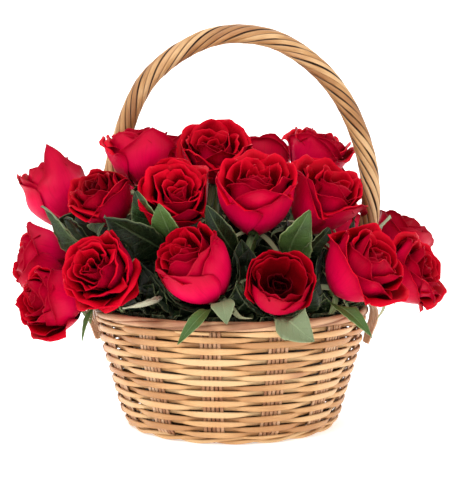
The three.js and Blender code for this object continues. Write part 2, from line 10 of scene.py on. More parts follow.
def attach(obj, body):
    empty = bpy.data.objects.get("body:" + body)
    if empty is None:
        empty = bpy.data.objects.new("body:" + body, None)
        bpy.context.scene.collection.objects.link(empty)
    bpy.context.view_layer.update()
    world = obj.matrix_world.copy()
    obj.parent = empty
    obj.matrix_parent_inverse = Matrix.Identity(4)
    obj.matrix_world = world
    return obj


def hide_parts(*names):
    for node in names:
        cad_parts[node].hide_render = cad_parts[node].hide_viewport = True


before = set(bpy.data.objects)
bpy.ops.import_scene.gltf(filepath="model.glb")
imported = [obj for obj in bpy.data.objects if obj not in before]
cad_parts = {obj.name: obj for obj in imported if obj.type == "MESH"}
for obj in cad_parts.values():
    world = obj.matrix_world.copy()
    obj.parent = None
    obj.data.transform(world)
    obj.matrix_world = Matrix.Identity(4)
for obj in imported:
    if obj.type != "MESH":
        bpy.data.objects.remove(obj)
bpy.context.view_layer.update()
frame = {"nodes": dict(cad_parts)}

# Red roses in a round wicker basket with an arched, wrapped handle.
# Every shape is worked out in millimetres, +Z up, front towards -Y, and kept in metres.

mm = 0.001
upwards = Vector((0, 0, 1))


def smoothStep(low, high, value):
    t = min(1, max(0, (value - low) / (high - low)))
    return t * t * (3 - 2 * t)


def wobble(x, y=0.0, z=0.0):  # a smooth random number from about -1 to 1
    return noise.noise(Vector((x, y, z)))


def swing(draw, reach):  # a random number to either side of 0
    return draw.uniform(-reach, reach)


def flatWay(point):  # the level way out from the middle axis to a point
    return Vector((point[0], point[1], 0)).normalized()


def bentGrid(bm, columns, rows, place, tone=0.5, material=0, mapped=None):
    # a flat grid bent into shape: place(u, v) gives each point, both shares running from 0 to 1
    uvLayer = bm.loops.layers.uv.verify()
    toneLayer = bm.verts.layers.float.get("tone") or bm.verts.layers.float.new("tone")
    made = bmesh.ops.create_grid(bm, x_segments=columns, y_segments=rows, size=1)["verts"]
    shares = {vert: ((vert.co.x + 1) / 2, (vert.co.y + 1) / 2) for vert in made}
    for face in {face for vert in made for face in vert.link_faces}:
        face.material_index = material
        face.smooth = True
        for loop in face.loops:
            u, v = shares[loop.vert]
            loop[uvLayer].uv = mapped(u, v) if mapped else (u, v)
    for vert in made:
        vert.co = place(*shares[vert])
        vert[toneLayer] = tone(*shares[vert]) if callable(tone) else tone
    return made


def travel(points, k):  # the direction of a path at its point k
    return (points[min(k + 1, len(points) - 1)] - points[max(k - 1, 0)]).normalized()


def lengthsAlong(points):  # how far along a path each of its points lies
    steps = ((b - a).length for a, b in zip(points, points[1:]))
    return list(itertools.accumulate(steps, initial=0.0))


def framesAlong(points, reference=Vector((0, 1, 0))):
    # for each point of a path: the point, the direction of travel and two directions across it
    frames = []
    for k, point in enumerate(points):
        ahead = travel(points, k)
        side = reference.cross(ahead).normalized()
        frames.append((point, ahead, side, ahead.cross(side)))
    return frames


def tubeAlong(bm, frames, sides, section, tone=0.5):
    # section(turn, share) gives the two offsets across the path, turn going round from 0 to 1
    rows = len(frames) - 1
    lengths = lengthsAlong([frame[0] for frame in frames])

    def place(u, v):
        point, ahead, side, other = frames[round(v * rows)]
        across, out = section(u, v)
        return point + side * across + other * out

    def mapped(u, v):
        return (u, lengths[round(v * rows)] / 100)  # V in decimetres along the strand

    verts = bentGrid(bm, sides, rows, place, tone, 0, mapped)
    bmesh.ops.remove_doubles(bm, verts=verts, dist=1e-4)  # the two sides of the grid become a seam


def roundLine(points, count):
    # a centripetal Catmull-Rom curve through the points, sampled at even steps of its length
    ends = [points[0] * 2 - points[1], *points, points[-1] * 2 - points[-2]]
    dense = []
    for k in range(len(ends) - 3):
        knots = [0.0]
        for a, b in zip(ends[k:k + 3], ends[k + 1:k + 4]):
            knots.append(knots[-1] + max(1e-4, (b - a).length) ** 0.5)
        for step in range(24):
            t = knots[1] + (knots[2] - knots[1]) * step / 24
            near = ends[k:k + 4]
            for first, span, pairs in ((0, 1, 3), (0, 2, 2), (1, 1, 1)):
                for m in range(pairs):  # each round blends neighbours, until one point is left
                    low, high = knots[first + m], knots[first + m + span]
                    near[m] = near[m].lerp(near[m + 1], (t - low) / (high - low))
            dense.append(near[0])
    dense.append(points[-1].copy())
    lengths = lengthsAlong(dense)
    line, k = [], 0
    for step in range(count + 1):
        want = lengths[-1] * step / count
        while k < len(dense) - 2 and lengths[k + 1] < want:
            k += 1
        span = max(1e-9, lengths[k + 1] - lengths[k])
        line.append(dense[k].lerp(dense[k + 1], min(1, (want - lengths[k]) / span)))
    return line


def linked(name, data):  # a new object in the scene
    made = bpy.data.objects.new(name, data)
    bpy.context.scene.collection.objects.link(made)
    return made


def keep(bm, name, nodes, materials, closed=True):
    # turns the bmesh into a finished piece that stands for the CAD nodes
    if closed:
        ends = [edge for edge in bm.edges if edge.is_boundary]
        bmesh.ops.holes_fill(bm, edges=ends, sides=0)
        bmesh.ops.recalc_face_normals(bm, faces=bm.faces)
    bmesh.ops.scale(bm, vec=(mm, mm, mm), verts=bm.verts)
    mesh = bpy.data.meshes.new(name)
    bm.to_mesh(mesh)
    bm.free()
    piece = linked(name, mesh)
    for material in materials:
        mesh.materials.append(material)
    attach(piece, "root")
    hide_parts(*nodes)
    return piece


def thicken(piece, thickness, offset, rimMaterial=0):
    # gives a sheet its thickness, with the piece's second material on the far side
    wall = piece.modifiers.new("thickness", "SOLIDIFY")
    wall.thickness = thickness * mm
    wall.offset = offset
    wall.material_offset = 1
    wall.material_offset_rim = rimMaterial


def paint(code):  # "d3a064" as a linear colour
    def linear(value):
        return value / 12.92 if value <= 0.04045 else ((value + 0.055) / 1.055) ** 2.4
    return (*(linear(int(code[k:k + 2], 16) / 255) for k in (0, 2, 4)), 1)


class Signal:  # one socket; sums on it add their Math nodes
    def __init__(self, recipe, socket):
        self.recipe, self.socket = recipe, socket

    def sum(self, operation, *values):
        return self.recipe.node("ShaderNodeMath", {"operation": operation}, dict(enumerate(values)))

    def __add__(self, other):
        return self.sum("ADD", self, other)

    def __sub__(self, other):
        return self.sum("SUBTRACT", self, other)

    def __mul__(self, other):
        return self.sum("MULTIPLY", self, other)

    def __abs__(self):
        return self.sum("ABSOLUTE", self)


class Recipe:  # a material and the nodes that make it
    def __init__(self, name, constants):
        self.material = bpy.data.materials.new(name)
        self.material.use_nodes = True
        self.tree = self.material.node_tree
        self.shader = self.tree.nodes["Principled BSDF"]
        for socket, value in constants.items():
            self.shader.inputs[socket].default_value = value

    def node(self, kind, settings=None, sockets=None, out=0):
        made = self.tree.nodes.new(kind)
        for key, value in (settings or {}).items():
            setattr(made, key, value)
        for key, value in (sockets or {}).items():
            if isinstance(value, Signal):
                self.tree.links.new(value.socket, made.inputs[key])
            else:
                made.inputs[key].default_value = paint(value) if isinstance(value, str) else value
        return Signal(self, made.outputs[out])

    def feed(self, socket, signal):
        self.tree.links.new(signal.socket, self.shader.inputs[socket])

    def uv(self):
        split = self.node("ShaderNodeSeparateXYZ", None, {0: self.node("ShaderNodeUVMap")})
        return split, Signal(self, split.socket.node.outputs[1])

    def spot(self):  # Object coordinates, in metres
        return self.node("ShaderNodeTexCoord", None, None, 3)

    def joined(self, x, y, z=0.0):
        return self.node("ShaderNodeCombineXYZ", None, {0: x, 1: y, 2: z})

    def tone(self):  # the piece's own shade, kept on its vertices
        return self.node("ShaderNodeAttribute", {"attribute_name": "tone"}, None, 2)

    def noise(self, vector, scale, detail=3.0, roughness=0.55):
        sockets = {"Vector": vector, "Scale": scale, "Detail": detail, "Roughness": roughness}
        return self.node("ShaderNodeTexNoise", None, sockets)

    def cells(self, vector, scale, feature="F1"):
        return self.node("ShaderNodeTexVoronoi", {"feature": feature}, {"Vector": vector, "Scale": scale})

    def range(self, value, low, high, newLow=0.0, newHigh=1.0):
        sockets = {0: value, 1: low, 2: high, 3: newLow, 4: newHigh}
        return self.node("ShaderNodeMapRange", {"interpolation_type": "SMOOTHSTEP"}, sockets)

    def mix(self, factor, first, second):
        return self.node("ShaderNodeMix", {"data_type": "RGBA"}, {0: factor, 6: first, 7: second}, 2)

    def ramp(self, value, *stops):  # the first coat: a row of colours along the value
        self.colour = self.node("ShaderNodeValToRGB", None, {0: value})
        elements = self.colour.socket.node.color_ramp.elements
        while len(elements) < len(stops):
            elements.new(0.5)
        for element, (position, code) in zip(elements, stops):
            element.position = position
            element.color = paint(code)

    def over(self, factor, code):  # one more colour over the coats so far
        self.colour = self.mix(factor, self.colour, code)

    def bump(self, height, strength, distance):
        sockets = {"Strength": strength, "Distance": distance, "Height": height}
        self.feed("Normal", self.node("ShaderNodeBump", None, sockets))

    def finished(self, uneven, smooth, rough):  # the roughness follows an uneven signal
        self.feed("Base Color", self.colour)
        self.feed("Roughness", self.range(uneven, 0.3, 0.7, smooth, rough))
        return self.material


def caneMaterial(name, look):
    # UV: U round the strand, V in decimetres along it
    recipe = Recipe(name, {"Specular IOR Level": look["gloss"]})
    around, along = recipe.uv()
    tone = recipe.tone()
    drift = recipe.noise(recipe.joined(tone * 31, along * look["drift"]), 1, 2)
    fibre = recipe.noise(recipe.joined(around * 9, along * 3.2, tone * 13), 4, 4, 0.6)
    fine = recipe.noise(recipe.joined(around * 60, along * 8, tone * 7), 3, 2)
    streaks = recipe.range(drift * 0.7 + fibre * 0.3 + (tone - 0.5) * look["spread"], 0.32, 0.68)
    recipe.ramp(streaks, (0, look["dark"]), (0.5, look["middle"]), (1, look["light"]))
    recipe.over(recipe.range(fine, 0.55, 0.75) * 0.35, look["dark"])
    # a reddish node mark with a thin dark line, every few centimetres
    knot = recipe.cells(recipe.joined(0, along * look["knots"], tone * 57), 1)
    mark = recipe.range(knot, 0.03, 0.11, 1, 0)
    recipe.over(recipe.range(knot, 0.05, 0.3, 1, 0) * 0.4, look["blush"])
    recipe.over(mark * 0.55, look["knot"])
    # painted shade in the creases along both edges of the strand, strong here and faint there
    places = recipe.noise(recipe.joined(along * look["places"], tone * 43, 0), 1, 2)
    creaseShade = recipe.range(abs(around - 0.5), 0.13, 0.2) * recipe.range(places, 0.38, 0.56, 0.25, 1)
    # the crease mark is painted shade, not a colour of the cane itself
    recipe.over(creaseShade * look["creaseShade"], look["creaseShadeColour"])
    recipe.bump(fibre * 0.7 + fine * 0.3 + mark * 0.6, 0.35, 0.0004)
    return recipe.finished(fibre, look["smooth"], look["rough"])


weaverCane = caneMaterial("weaver cane", {
    "dark": "b4804e", "middle": "d5a56e", "light": "dcb784", "blush": "c98a5a", "knot": "8d4a2a",
    "gloss": 0.5, "drift": 1.6, "knots": 0.75, "smooth": 0.36, "rough": 0.6,
    "places": 2.2, "creaseShade": 0.24, "creaseShadeColour": "7c4c2c", "spread": 0.3})
# a darker, pinker copy of the weaver cane; the darkness is painted shade from the leaves over the rim
rimCane = caneMaterial("rim cane", {
    "dark": "946444", "middle": "be8e66", "light": "d6aa82", "blush": "b4785c", "knot": "7c4028",
    "gloss": 0.45, "drift": 2.4, "knots": 1.4, "smooth": 0.4, "rough": 0.65,
    "places": 2.4, "creaseShade": 0.4, "creaseShadeColour": "6c4028", "spread": 0.3})
# painted shade: the core is coloured nearly black so the gaps between the wrapping strips look dark
coreShadeCane = caneMaterial("core cane, painted shade", {
    "dark": "24140c", "middle": "4a2c1a", "light": "6e4628", "blush": "4a2418", "knot": "24140c",
    "gloss": 0.2, "drift": 3.0, "knots": 1.6, "smooth": 0.6, "rough": 0.8,
    "places": 2.2, "creaseShade": 0.1, "creaseShadeColour": "24140c", "spread": 0})
stakeCane = caneMaterial("stake cane", {
    "dark": "9c6a48", "middle": "cc9c74", "light": "e2bc96", "blush": "b87c5c", "knot": "6f3d28",
    "gloss": 0.4, "drift": 3.0, "knots": 1.6, "smooth": 0.42, "rough": 0.65,
    "places": 2.2, "creaseShade": 0.65, "creaseShadeColour": "5a3420", "spread": 0.2})
wrappingCane = caneMaterial("wrapping cane", {
    "dark": "946234", "middle": "ba8a55", "light": "d4ac7b", "blush": "b4784a", "knot": "7c4a22",
    "gloss": 0.5, "drift": 2.2, "knots": 0.9, "smooth": 0.32, "rough": 0.55,
    "places": 2.6, "creaseShade": 1.2, "creaseShadeColour": "341a0e", "spread": 0.25})
# paler than the other canes: painted light that lifts the shade the lashing sits in
lashingCane = caneMaterial("lashing cane", {
    "dark": "c49a7c", "middle": "e0bb9a", "light": "ecd0b4", "blush": "cf9a7e", "knot": "6f3d28",
    "gloss": 0.4, "drift": 4.0, "knots": 2.0, "smooth": 0.45, "rough": 0.7,
    "places": 3.0, "creaseShade": 0.06, "creaseShadeColour": "7c5440", "spread": 0})


def petalMaterial(name, look):
    # UV: U across the petal, V from its base to its lip; the tone grows towards the heart, where it paints
    # shade
    recipe = Recipe(name, {"Specular IOR Level": look["gloss"]})
    across, along = recipe.uv()
    tone = recipe.tone()
    side = abs(across * 2 - 1)
    veins = recipe.noise(recipe.joined(across * 40, along * 2.2, tone * 19), 1, 3, 0.6)
    clouds = recipe.noise(recipe.joined(across * 2.4, along * 2.4, tone * 41), 1.3, 2)
    recipe.ramp(along + (clouds - 0.5) * 0.3, *look["stops"])
    # painted shade, growing with the tone towards the heart
    recipe.over(tone * look["deepening"], look["deep"])
    recipe.over(recipe.range(tone, 1.1, 2.4, 0, 0.85), "140002")  # painted black shade in the heart of a dark bloom
    recipe.over(recipe.range(veins, 0.45, 0.75) * look["veining"], look["vein"])
    # a band along lip and sides: on backs and edge faces darker, painted shade between petals; on faces
    # brighter, painted highlight on the lips
    rim = recipe.range(along, 0.95, 1) * 0.6 + recipe.range(side, 0.95, 1) * 0.4
    recipe.over(rim * look["rimStrength"], look["rim"])
    recipe.bump(veins * 0.5 + clouds, 0.3, 0.0006)
    return recipe.finished(clouds, look["smooth"], look["smooth"] + 0.12)


# the face darkens towards the petal's base: painted shade deep between the petals
petalFace = petalMaterial("petal face", {
    "stops": [(0, "2c0006"), (0.5, "70000c"), (0.78, "b40018"), (1, "d80024")], "deep": "86000c",
    "deepening": 0.55, "vein": "8c000e", "veining": 0.25, "rim": "e00028", "rimStrength": 0.25,
    "gloss": 0.05, "smooth": 0.45})
# the back is brightest on its belly, partly a painted soft highlight, above a pale base
petalBack = petalMaterial("petal back", {
    "stops": [(0, "b89858"), (0.03, "a01c34"), (0.12, "bc0038"), (0.42, "e4004a"), (0.72, "cc0036"),
              (1, "ac0024")],
    "deep": "900014", "deepening": 0.75, "vein": "a80026", "veining": 0.3, "rim": "8c0018",
    "rimStrength": 0.35, "gloss": 0.1, "smooth": 0.38})
# the edge faces are darker than face and back: painted shade between the petals
petalEdge = petalMaterial("petal edge", {
    "stops": [(0, "80041c"), (0.75, "8c0420"), (1, "b00826")], "deep": "780010", "deepening": 0.6,
    "vein": "8c0018", "veining": 0.2, "rim": "b00828", "rimStrength": 0.2, "gloss": 0.05,
    "smooth": 0.6})


def leafMaterial(name, look):
    # UV: U across the blade with its rib in the middle, V from the stalk to the tip
    recipe = Recipe(name, {"Specular IOR Level": look["gloss"]})
    across, along = recipe.uv()
    tone = recipe.tone()
    side = abs(across * 2 - 1)
    rib = recipe.range(side, 0.02, 0.09, 1, 0)
    slant = (along - side * 0.16) * 9 + recipe.noise(recipe.spot(), 60, 1) * 0.35
    wave = abs(slant.sum("FRACT", slant) - 0.5) * 2
    vein = recipe.range(wave, 0.78, 0.98)
    net = recipe.cells(recipe.joined(across * 14, along * 34, tone * 9), 1, "DISTANCE_TO_EDGE")
    fineNet = recipe.range(net, 0.02, 0.12, 1, 0)
    clouds = recipe.noise(recipe.spot(), 45, 3)
    shade = recipe.range(clouds + (tone - 0.5) * 0.9, 0.2, 0.8)
    recipe.colour = recipe.mix(shade, look["dark"], look["light"])
    recipe.over(fineNet * 0.25, look["vein"])
    recipe.over(vein * look["veining"], look["vein"])
    recipe.over(rib * look["ribbing"], look["rib"])
    recipe.over(recipe.range(side, 0.9, 1) * look["edging"], look["edge"])
    # low tones are the deep shade, and those above 1 a pale sage
    recipe.over(recipe.range(tone, 0.02, 0.42, look["shade"], 0), "0a1206")
    recipe.over(recipe.range(tone, 1, 1.7), "b4b49a")
    recipe.bump(clouds * 0.4 - vein * 0.7 - rib - fineNet * 0.2, look["relief"], 0.0006)
    return recipe.finished(clouds, look["smooth"], look["smooth"] + 0.2)


leafFace = leafMaterial("leaf face", {
    "dark": "0c1c0a", "light": "47632c", "vein": "5a744a", "rib": "7e9664", "edge": "a9b67c",
    "veining": 0.16, "ribbing": 0.45, "edging": 0.5, "gloss": 0.25, "smooth": 0.28, "relief": 0.5,
    "shade": 0.85})
leafBack = leafMaterial("leaf back", {
    "dark": "4c6446", "light": "8c9e80", "vein": "a9b898", "rib": "c0c4a0", "edge": "98a478",
    "veining": 0.35, "ribbing": 0.6, "edging": 0.4, "gloss": 0.3, "smooth": 0.5, "relief": 0.6,
    "shade": 0.85})
sepalSkin = leafMaterial("sepal skin", {
    "dark": "6a7e50", "light": "b2b88e", "vein": "8f9a6c", "rib": "c2c49c", "edge": "b98a70",
    "veining": 0.2, "ribbing": 0.5, "edging": 0.4, "gloss": 0.25, "smooth": 0.45, "relief": 0.4,
    "shade": 0})


def stemMaterial():
    recipe = Recipe("stem bark", {"Specular IOR Level": 0.4})
    around, along = recipe.uv()
    clouds = recipe.noise(recipe.spot(), 70, 3)
    lines = recipe.noise(recipe.joined(around * 12, along * 2), 3, 3)
    blush = recipe.noise(recipe.spot(), 24, 1)
    green = recipe.range(clouds * 0.6 + lines * 0.4, 0.3, 0.7)
    recipe.ramp(green, (0, "2f4a24"), (0.6, "5e7a3e"), (1, "86884a"))
    recipe.over(recipe.range(blush, 0.52, 0.75) * 0.5, "7a4632")
    recipe.bump(lines + clouds * 0.5, 0.35, 0.0004)
    return recipe.finished(clouds, 0.4, 0.6)


def foamMaterial():
    recipe = Recipe("wet foam", {"Specular IOR Level": 0.3})
    pores = recipe.cells(recipe.spot(), 900)
    dents = recipe.noise(recipe.spot(), 60, 4)
    recipe.colour = recipe.mix(recipe.range(pores, 0.1, 0.6), "0a1c10", "18381f")
    recipe.over(recipe.range(dents, 0.45, 0.7) * 0.6, "12301a")
    recipe.bump(pores * 0.6 + dents, 0.8, 0.0012)
    return recipe.finished(dents, 0.55, 0.95)


def linerMaterial():
    recipe = Recipe("liner film", {"Specular IOR Level": 0.5})
    folds = recipe.noise(recipe.spot(), 26, 4, 0.6)
    fine = recipe.noise(recipe.spot(), 160, 2)
    recipe.colour = recipe.mix(recipe.range(folds, 0.35, 0.7), "2a2218", "4a3a28")
    recipe.bump(folds + fine * 0.2, 0.5, 0.002)
    return recipe.finished(fine, 0.35, 0.55)


stemBark, wetFoam, linerFilm = stemMaterial(), foamMaterial(), linerMaterial()
print("materials ready")


basket = {
    "stakes": 13, "firstStake": -98.7,  # degrees
    "wall": [(0, 84), (4, 88), (10, 91), (26, 95.5), (47, 101.5), (69, 108), (86, 111.5), (102, 113)],
    "strands": 5, "strandWidth": 3.4, "strandThickness": 2.0, "stakeTop": 94,
}


def wallRadius(z):
    wall = basket["wall"]
    k = 1
    while k < len(wall) - 1 and z > wall[k][0]:
        k += 1
    (z0, r0), (z1, r1) = wall[k - 1], wall[k]
    return r0 + (r1 - r0) * (z - z0) / (z1 - z0)


def around(radius, angle, z):  # a point on a circle about the middle axis
    return Vector((radius * cos(angle), radius * sin(angle), z))


def flatRound(width, thickness, power=0.75):
    # the section of a flat splint with rounded edges; the turn starts at its inner face
    def section(turn, share):
        c, s = cos(2 * pi * turn), sin(2 * pi * turn)
        across = width / 2 * copysign(abs(s) ** power, s)
        return (across, -thickness / 2 * copysign(abs(c) ** power, c))
    return section


def onEdge(section):  # the same section turned by a quarter
    return lambda turn, share: tuple(reversed(section(turn, share)))


# Stakes: bundles of thin strands that run from the middle of the base out and up the wall.
bm = bmesh.new()
for k in range(basket["stakes"]):
    angle = radians(basket["firstStake"] + 360 * k / basket["stakes"])
    outward, sideways = around(1, angle, 0), around(1, angle + pi / 2, 0)
    for strand in range(basket["strands"]):
        shift = (strand - (basket["strands"] - 1) / 2) * basket["strandWidth"]
        path = []
        for r in (16, 30, 46, 62, 76):
            path.append(outward * r + sideways * shift * min(1, r / 60) + upwards * 2.2)
        path.append(outward * 83.4 + sideways * shift + upwards * 2.9)
        path.append(outward * 87.6 + sideways * shift + upwards * 6)
        for z in (11, 20, 32, 45, 58, 70, 82, basket["stakeTop"]):
            lean = 0.35 * wobble(k * 3.1 + strand, z / 22)
            path.append(outward * (wallRadius(z) + lean) + sideways * (shift + lean) + upwards * z)
        line = roundLine(path, 44)
        size = 0.92 + 0.1 * wobble(k * 1.7, strand * 2.3)
        section = flatRound(basket["strandWidth"] * size, basket["strandThickness"] * size, 0.85)
        tubeAlong(bm, framesAlong(line, sideways), 8, onEdge(section), (k * 4 + strand) % 17 / 17)

# The base: one flat strand wound in a spiral over and under the stakes, with a hub in its middle.
base = {
    "turns": 15, "inner": 18, "outer": 84.5, "middle": 2.2, "reach": 0.81, "width": 4.2, "thickness": 1.3,
    "hubBottom": 17, "hubTop": 15.5, "hubHeight": 3.4, "hubMiddle": 2.0, "hubBevel": 0.8,
}
path = []
steps = base["turns"] * basket["stakes"] * 4
for k in range(steps + 1):
    turn = base["turns"] * k / steps
    radius = base["inner"] + (base["outer"] - base["inner"]) * turn / base["turns"]
    wave = cos(pi * basket["stakes"] * turn)
    angle = radians(basket["firstStake"]) + 2 * pi * turn
    path.append(around(radius, angle, base["middle"] + base["reach"] * wave))
tubeAlong(bm, framesAlong(path, upwards), 8, flatRound(base["width"], base["thickness"]), 0.4)
hub = bmesh.ops.create_cone(bm, segments=26, cap_ends=True, radius1=base["hubBottom"],
                            radius2=base["hubTop"], depth=base["hubHeight"],
                            matrix=Matrix.Translation((0, 0, base["hubMiddle"])))["verts"]
hubEdges = list({edge for vert in hub for edge in vert.link_edges})
bmesh.ops.bevel(bm, geom=hubEdges, offset=base["hubBevel"], segments=2, profile=0.5, affect="EDGES",
                material=-1)
keep(bm, "base_and_stakes_canes", ["base_and_stakes"], [stakeCane])

weave = {
    "rows": 19, "pitch": 4.37, "bottom": 8.6, "height": 3.9, "swell": 1.4, "thickness": 2.1,
    "reach": 2.75, "stepsPerStake": 12, "sides": 10,
    "tail": 1, "lowPitch": 2.3, "highPitch": 1.3, "thinning": 0.55,  # the splint's tapered ends
}


def weaverSpot(turn):
    # middle of the splint and how much it swells, after so many turns round the basket
    tail = max(0, -turn, turn - weave["rows"])
    lift = min(weave["rows"], max(0, turn)) * weave["pitch"]
    lift += weave["highPitch"] * tail if turn > 0 else -weave["lowPitch"] * tail
    angle = radians(basket["firstStake"]) + 2 * pi * turn
    wave = tanh(1.7 * cos(pi * basket["stakes"] * turn)) / tanh(1.7)
    z = weave["bottom"] + lift + 1.2 * wobble(turn * 6.3, 2.5)
    radius = wallRadius(z) + weave["reach"] * wave + 0.25 * wobble(turn * 21, 7.5)
    swell = wave * wave if wave > 0 else 0  # broad where it lies outside a stake
    return around(radius, angle, z), swell, 1 - weave["thinning"] * min(1, tail)


bm = bmesh.new()
stepsPerTurn = basket["stakes"] * weave["stepsPerStake"]
rows = (weave["rows"] + 2 * weave["tail"]) * stepsPerTurn
spots = [weaverSpot(k / stepsPerTurn - weave["tail"]) for k in range(rows + 1)]


def weaverSection(turn, share):
    k = round(share * rows)
    swell, size = spots[k][1:]
    uneven = 0.8 * wobble(k / 31, 4.4) + 0.5 * wobble(k / 190, 2.2)  # in short and in long waves
    height = (weave["height"] + weave["swell"] * swell + uneven) * size
    return flatRound(height, weave["thickness"] * (1.05 - 0.12 * swell), 0.72)(turn, share)


def splintTone(turn, share):  # a new splint starts behind every sixteenth stake
    passed = basket["stakes"] * (share * rows / stepsPerTurn - weave["tail"])
    return 0.618 * ((passed - 1) // 16) % 1


frames = []
middles = [spot[0] for spot in spots]
for k, point in enumerate(middles):
    ahead = travel(middles, k)
    slope = flatWay(point) * (wallRadius(point.z + 1) - wallRadius(point.z - 1)) / 2
    rise = (upwards + slope).normalized()
    frames.append((point, ahead, rise, ahead.cross(rise).normalized()))
tubeAlong(bm, frames, weave["sides"], weaverSection, splintTone)
keep(bm, "weaver_splints", ["weaver"], [weaverCane])
print("basket wall woven")

rim = {"radius": 113, "bottom": 94.4, "height": 7.6, "turns": 4, "section": (5.4, 4.3, 0.9), "sides": 10,
       "orbitAcross": 2.3, "orbitHigh": 1.75, "steps": 260,
       "rolls": True}  # its flat sides turn with the twist
foot = {"radius": 87.4, "middle": 3.3, "turns": 9, "section": (3.2, 3.2, 1), "sides": 8,
        "orbitAcross": 1.5, "orbitHigh": 1.5, "steps": 234, "rolls": False}


def twistedRing(bm, ring, middle, tones):
    # strands twisted into a ring round the basket, each closed where its ends meet
    for strand, tone in enumerate(tones):
        frames = []
        for k in range(ring["steps"] + 1):
            angle = 2 * pi * k / ring["steps"]
            phase = ring["turns"] * angle + 2 * pi * strand / len(tones)
            point = around(ring["radius"] + ring["orbitAcross"] * cos(phase), angle,
                           middle + ring["orbitHigh"] * sin(phase))
            ahead = around(1, angle + pi / 2, 0)
            out = (around(1, angle, 0) * cos(phase) + upwards * sin(phase)).normalized()
            ways = (ahead.cross(out), out) if ring["rolls"] else (upwards, ahead.cross(upwards))
            frames.append((point, ahead, *ways))
        tubeAlong(bm, frames, ring["sides"], flatRound(*ring["section"]), tone)
        bmesh.ops.remove_doubles(bm, verts=[v for v in bm.verts if v.is_boundary], dist=0.01)


bm = bmesh.new()
twistedRing(bm, rim, rim["bottom"] + rim["height"] / 2, (0.15, 0.45, 0.75))
keep(bm, "rim_border_strands", ["rim_border"], [rimCane])

bm = bmesh.new()
twistedRing(bm, foot, foot["middle"], (0.3, 0.7))  # laid round the bottom corner
keep(bm, "base_and_stakes_foot", ["base_and_stakes"], [weaverCane])
print("rim and foot laid")


handle = {
    "turn": -6, "radius": 8.1, "core": 4.6, "wraps": 9, "twist": -5,
    "arch": [(-94, 92), (-96, 112), (-108, 165), (-99, 228), (-73, 291), (-31, 323), (5, 331),
             (45, 322), (86, 288), (112, 235), (118, 180), (98, 112), (94, 92)],
    "footX": 88, "footBottom": 44, "thickness": 3.1, "stripWidth": 4.7, "steps": 260,
}
handleTurn = Matrix.Rotation(radians(handle["turn"]), 3, "Z")
archLine = roundLine([Vector((x, 0, z)) for x, z in handle["arch"]], handle["steps"])
archFrames = framesAlong(archLine)


def turnHandle(bm):
    bmesh.ops.rotate(bm, cent=(0, 0, 0), matrix=handleTurn, verts=bm.verts)


bm = bmesh.new()
coreLine = [Vector((-handle["footX"], 0, handle["footBottom"])), *archLine,
            Vector((handle["footX"], 0, handle["footBottom"]))]
tubeAlong(bm, framesAlong(coreLine), 12, flatRound(handle["core"] * 2, handle["core"] * 2, 1), 0.2)
turnHandle(bm)
keep(bm, "handle_core_cane", ["handle_core"], [coreShadeCane])


def wrapSection(width, wrap):  # a strip that narrows here and there, and lets gaps open
    def section(turn, share):
        narrowed = 1 - 0.2 * smoothStep(0.05, 0.5, wobble(share * 9, wrap * 5.3))
        return flatRound(width * narrowed, handle["thickness"], 0.8)(turn, share)
    return section


bm = bmesh.new()
for wrap in range(handle["wraps"]):
    path, outs = [], []
    for k, (point, ahead, side, other) in enumerate(archFrames):
        share = k / handle["steps"]
        turned = 2 * pi * (wrap / handle["wraps"] + handle["twist"] * share)
        turned += 0.2 * wobble(share * 7, wrap * 3.7)
        outs.append(side * cos(turned) + other * sin(turned))
        radius = handle["radius"] - handle["thickness"] / 2 + 0.3 * wobble(share * 16, wrap * 1.9)
        path.append(point + outs[-1] * radius)
    frames = []
    for k, (point, out) in enumerate(zip(path, outs)):
        way = travel(path, k)
        frames.append((point, way, way.cross(out).normalized(), out))
    width = handle["stripWidth"] * (1 + 0.08 * wobble(wrap * 5.3))
    tubeAlong(bm, frames, 10, wrapSection(width, wrap), wrap / handle["wraps"])
turnHandle(bm)
keep(bm, "handle_wrapping_canes", ["handle_wrapping"], [wrappingCane])

lashing = {"strips": 5, "stripWidth": 2.6, "thickness": 1.9, "outerBottom": 69, "innerBottom": 95.2,
           "step": 1.5, "room": 5.0}
outside = rim["radius"] + lashing["room"]
inside = rim["radius"] - lashing["room"]
top = rim["bottom"] + rim["height"] + 1.5
hugging = wallRadius(lashing["outerBottom"]) + 5.6
for name, side in (("left", -1), ("right", 1)):
    bm = bmesh.new()
    for strip in range(lashing["strips"]):
        y = (strip - (lashing["strips"] - 1) / 2) * lashing["stripWidth"]
        out = lashing["step"] * (lashing["strips"] - 1 - strip)
        drop = 2.5 * wobble(strip * 2.1, side * 3.3)
        outline = [(hugging + out * 0.6, lashing["outerBottom"] + abs(drop)), (hugging + 2 + out * 0.9, 80),
                   (outside + 0.6 + out, 90), (outside + 0.8 + out * 0.8, top - 3.4),
                   (rim["radius"] + 2.4 + out * 0.2, top + 0.2), (rim["radius"] - 2.4, top + 0.2),
                   (inside - 0.8, top - 2.4), (inside - 0.8, lashing["innerBottom"])]
        line = roundLine([Vector((side * x, y + 0.3 * wobble(z / 9, strip), z)) for x, z in outline], 40)
        section = flatRound(lashing["stripWidth"] * 0.97, lashing["thickness"], 0.7)
        tubeAlong(bm, framesAlong(line), 8, onEdge(section), strip / lashing["strips"])
    turnHandle(bm)
    keep(bm, "lashing_%s_strips" % name, ["lashing_" + name], [lashingCane])
print("handle wrapped")


liner = {"bottomRadius": 70, "topRadius": 84, "bottom": 4.5, "top": 88, "wall": 1.2}
foam = {"shoulder": 92, "top": 103, "topRadius": 58}


def spunProfile(bm, profile, steps):
    verts = [bm.verts.new((r, 0, z)) for r, z in profile]
    edges = [bm.edges.new(pair) for pair in zip(verts, verts[1:])]
    bmesh.ops.spin(bm, geom=verts + edges, cent=(0, 0, 0), axis=(0, 0, 1), angle=2 * pi,
                   steps=steps, use_merge=True, use_duplicate=False)
    bmesh.ops.remove_doubles(bm, verts=bm.verts, dist=1e-3)
    for face in bm.faces:
        face.smooth = True


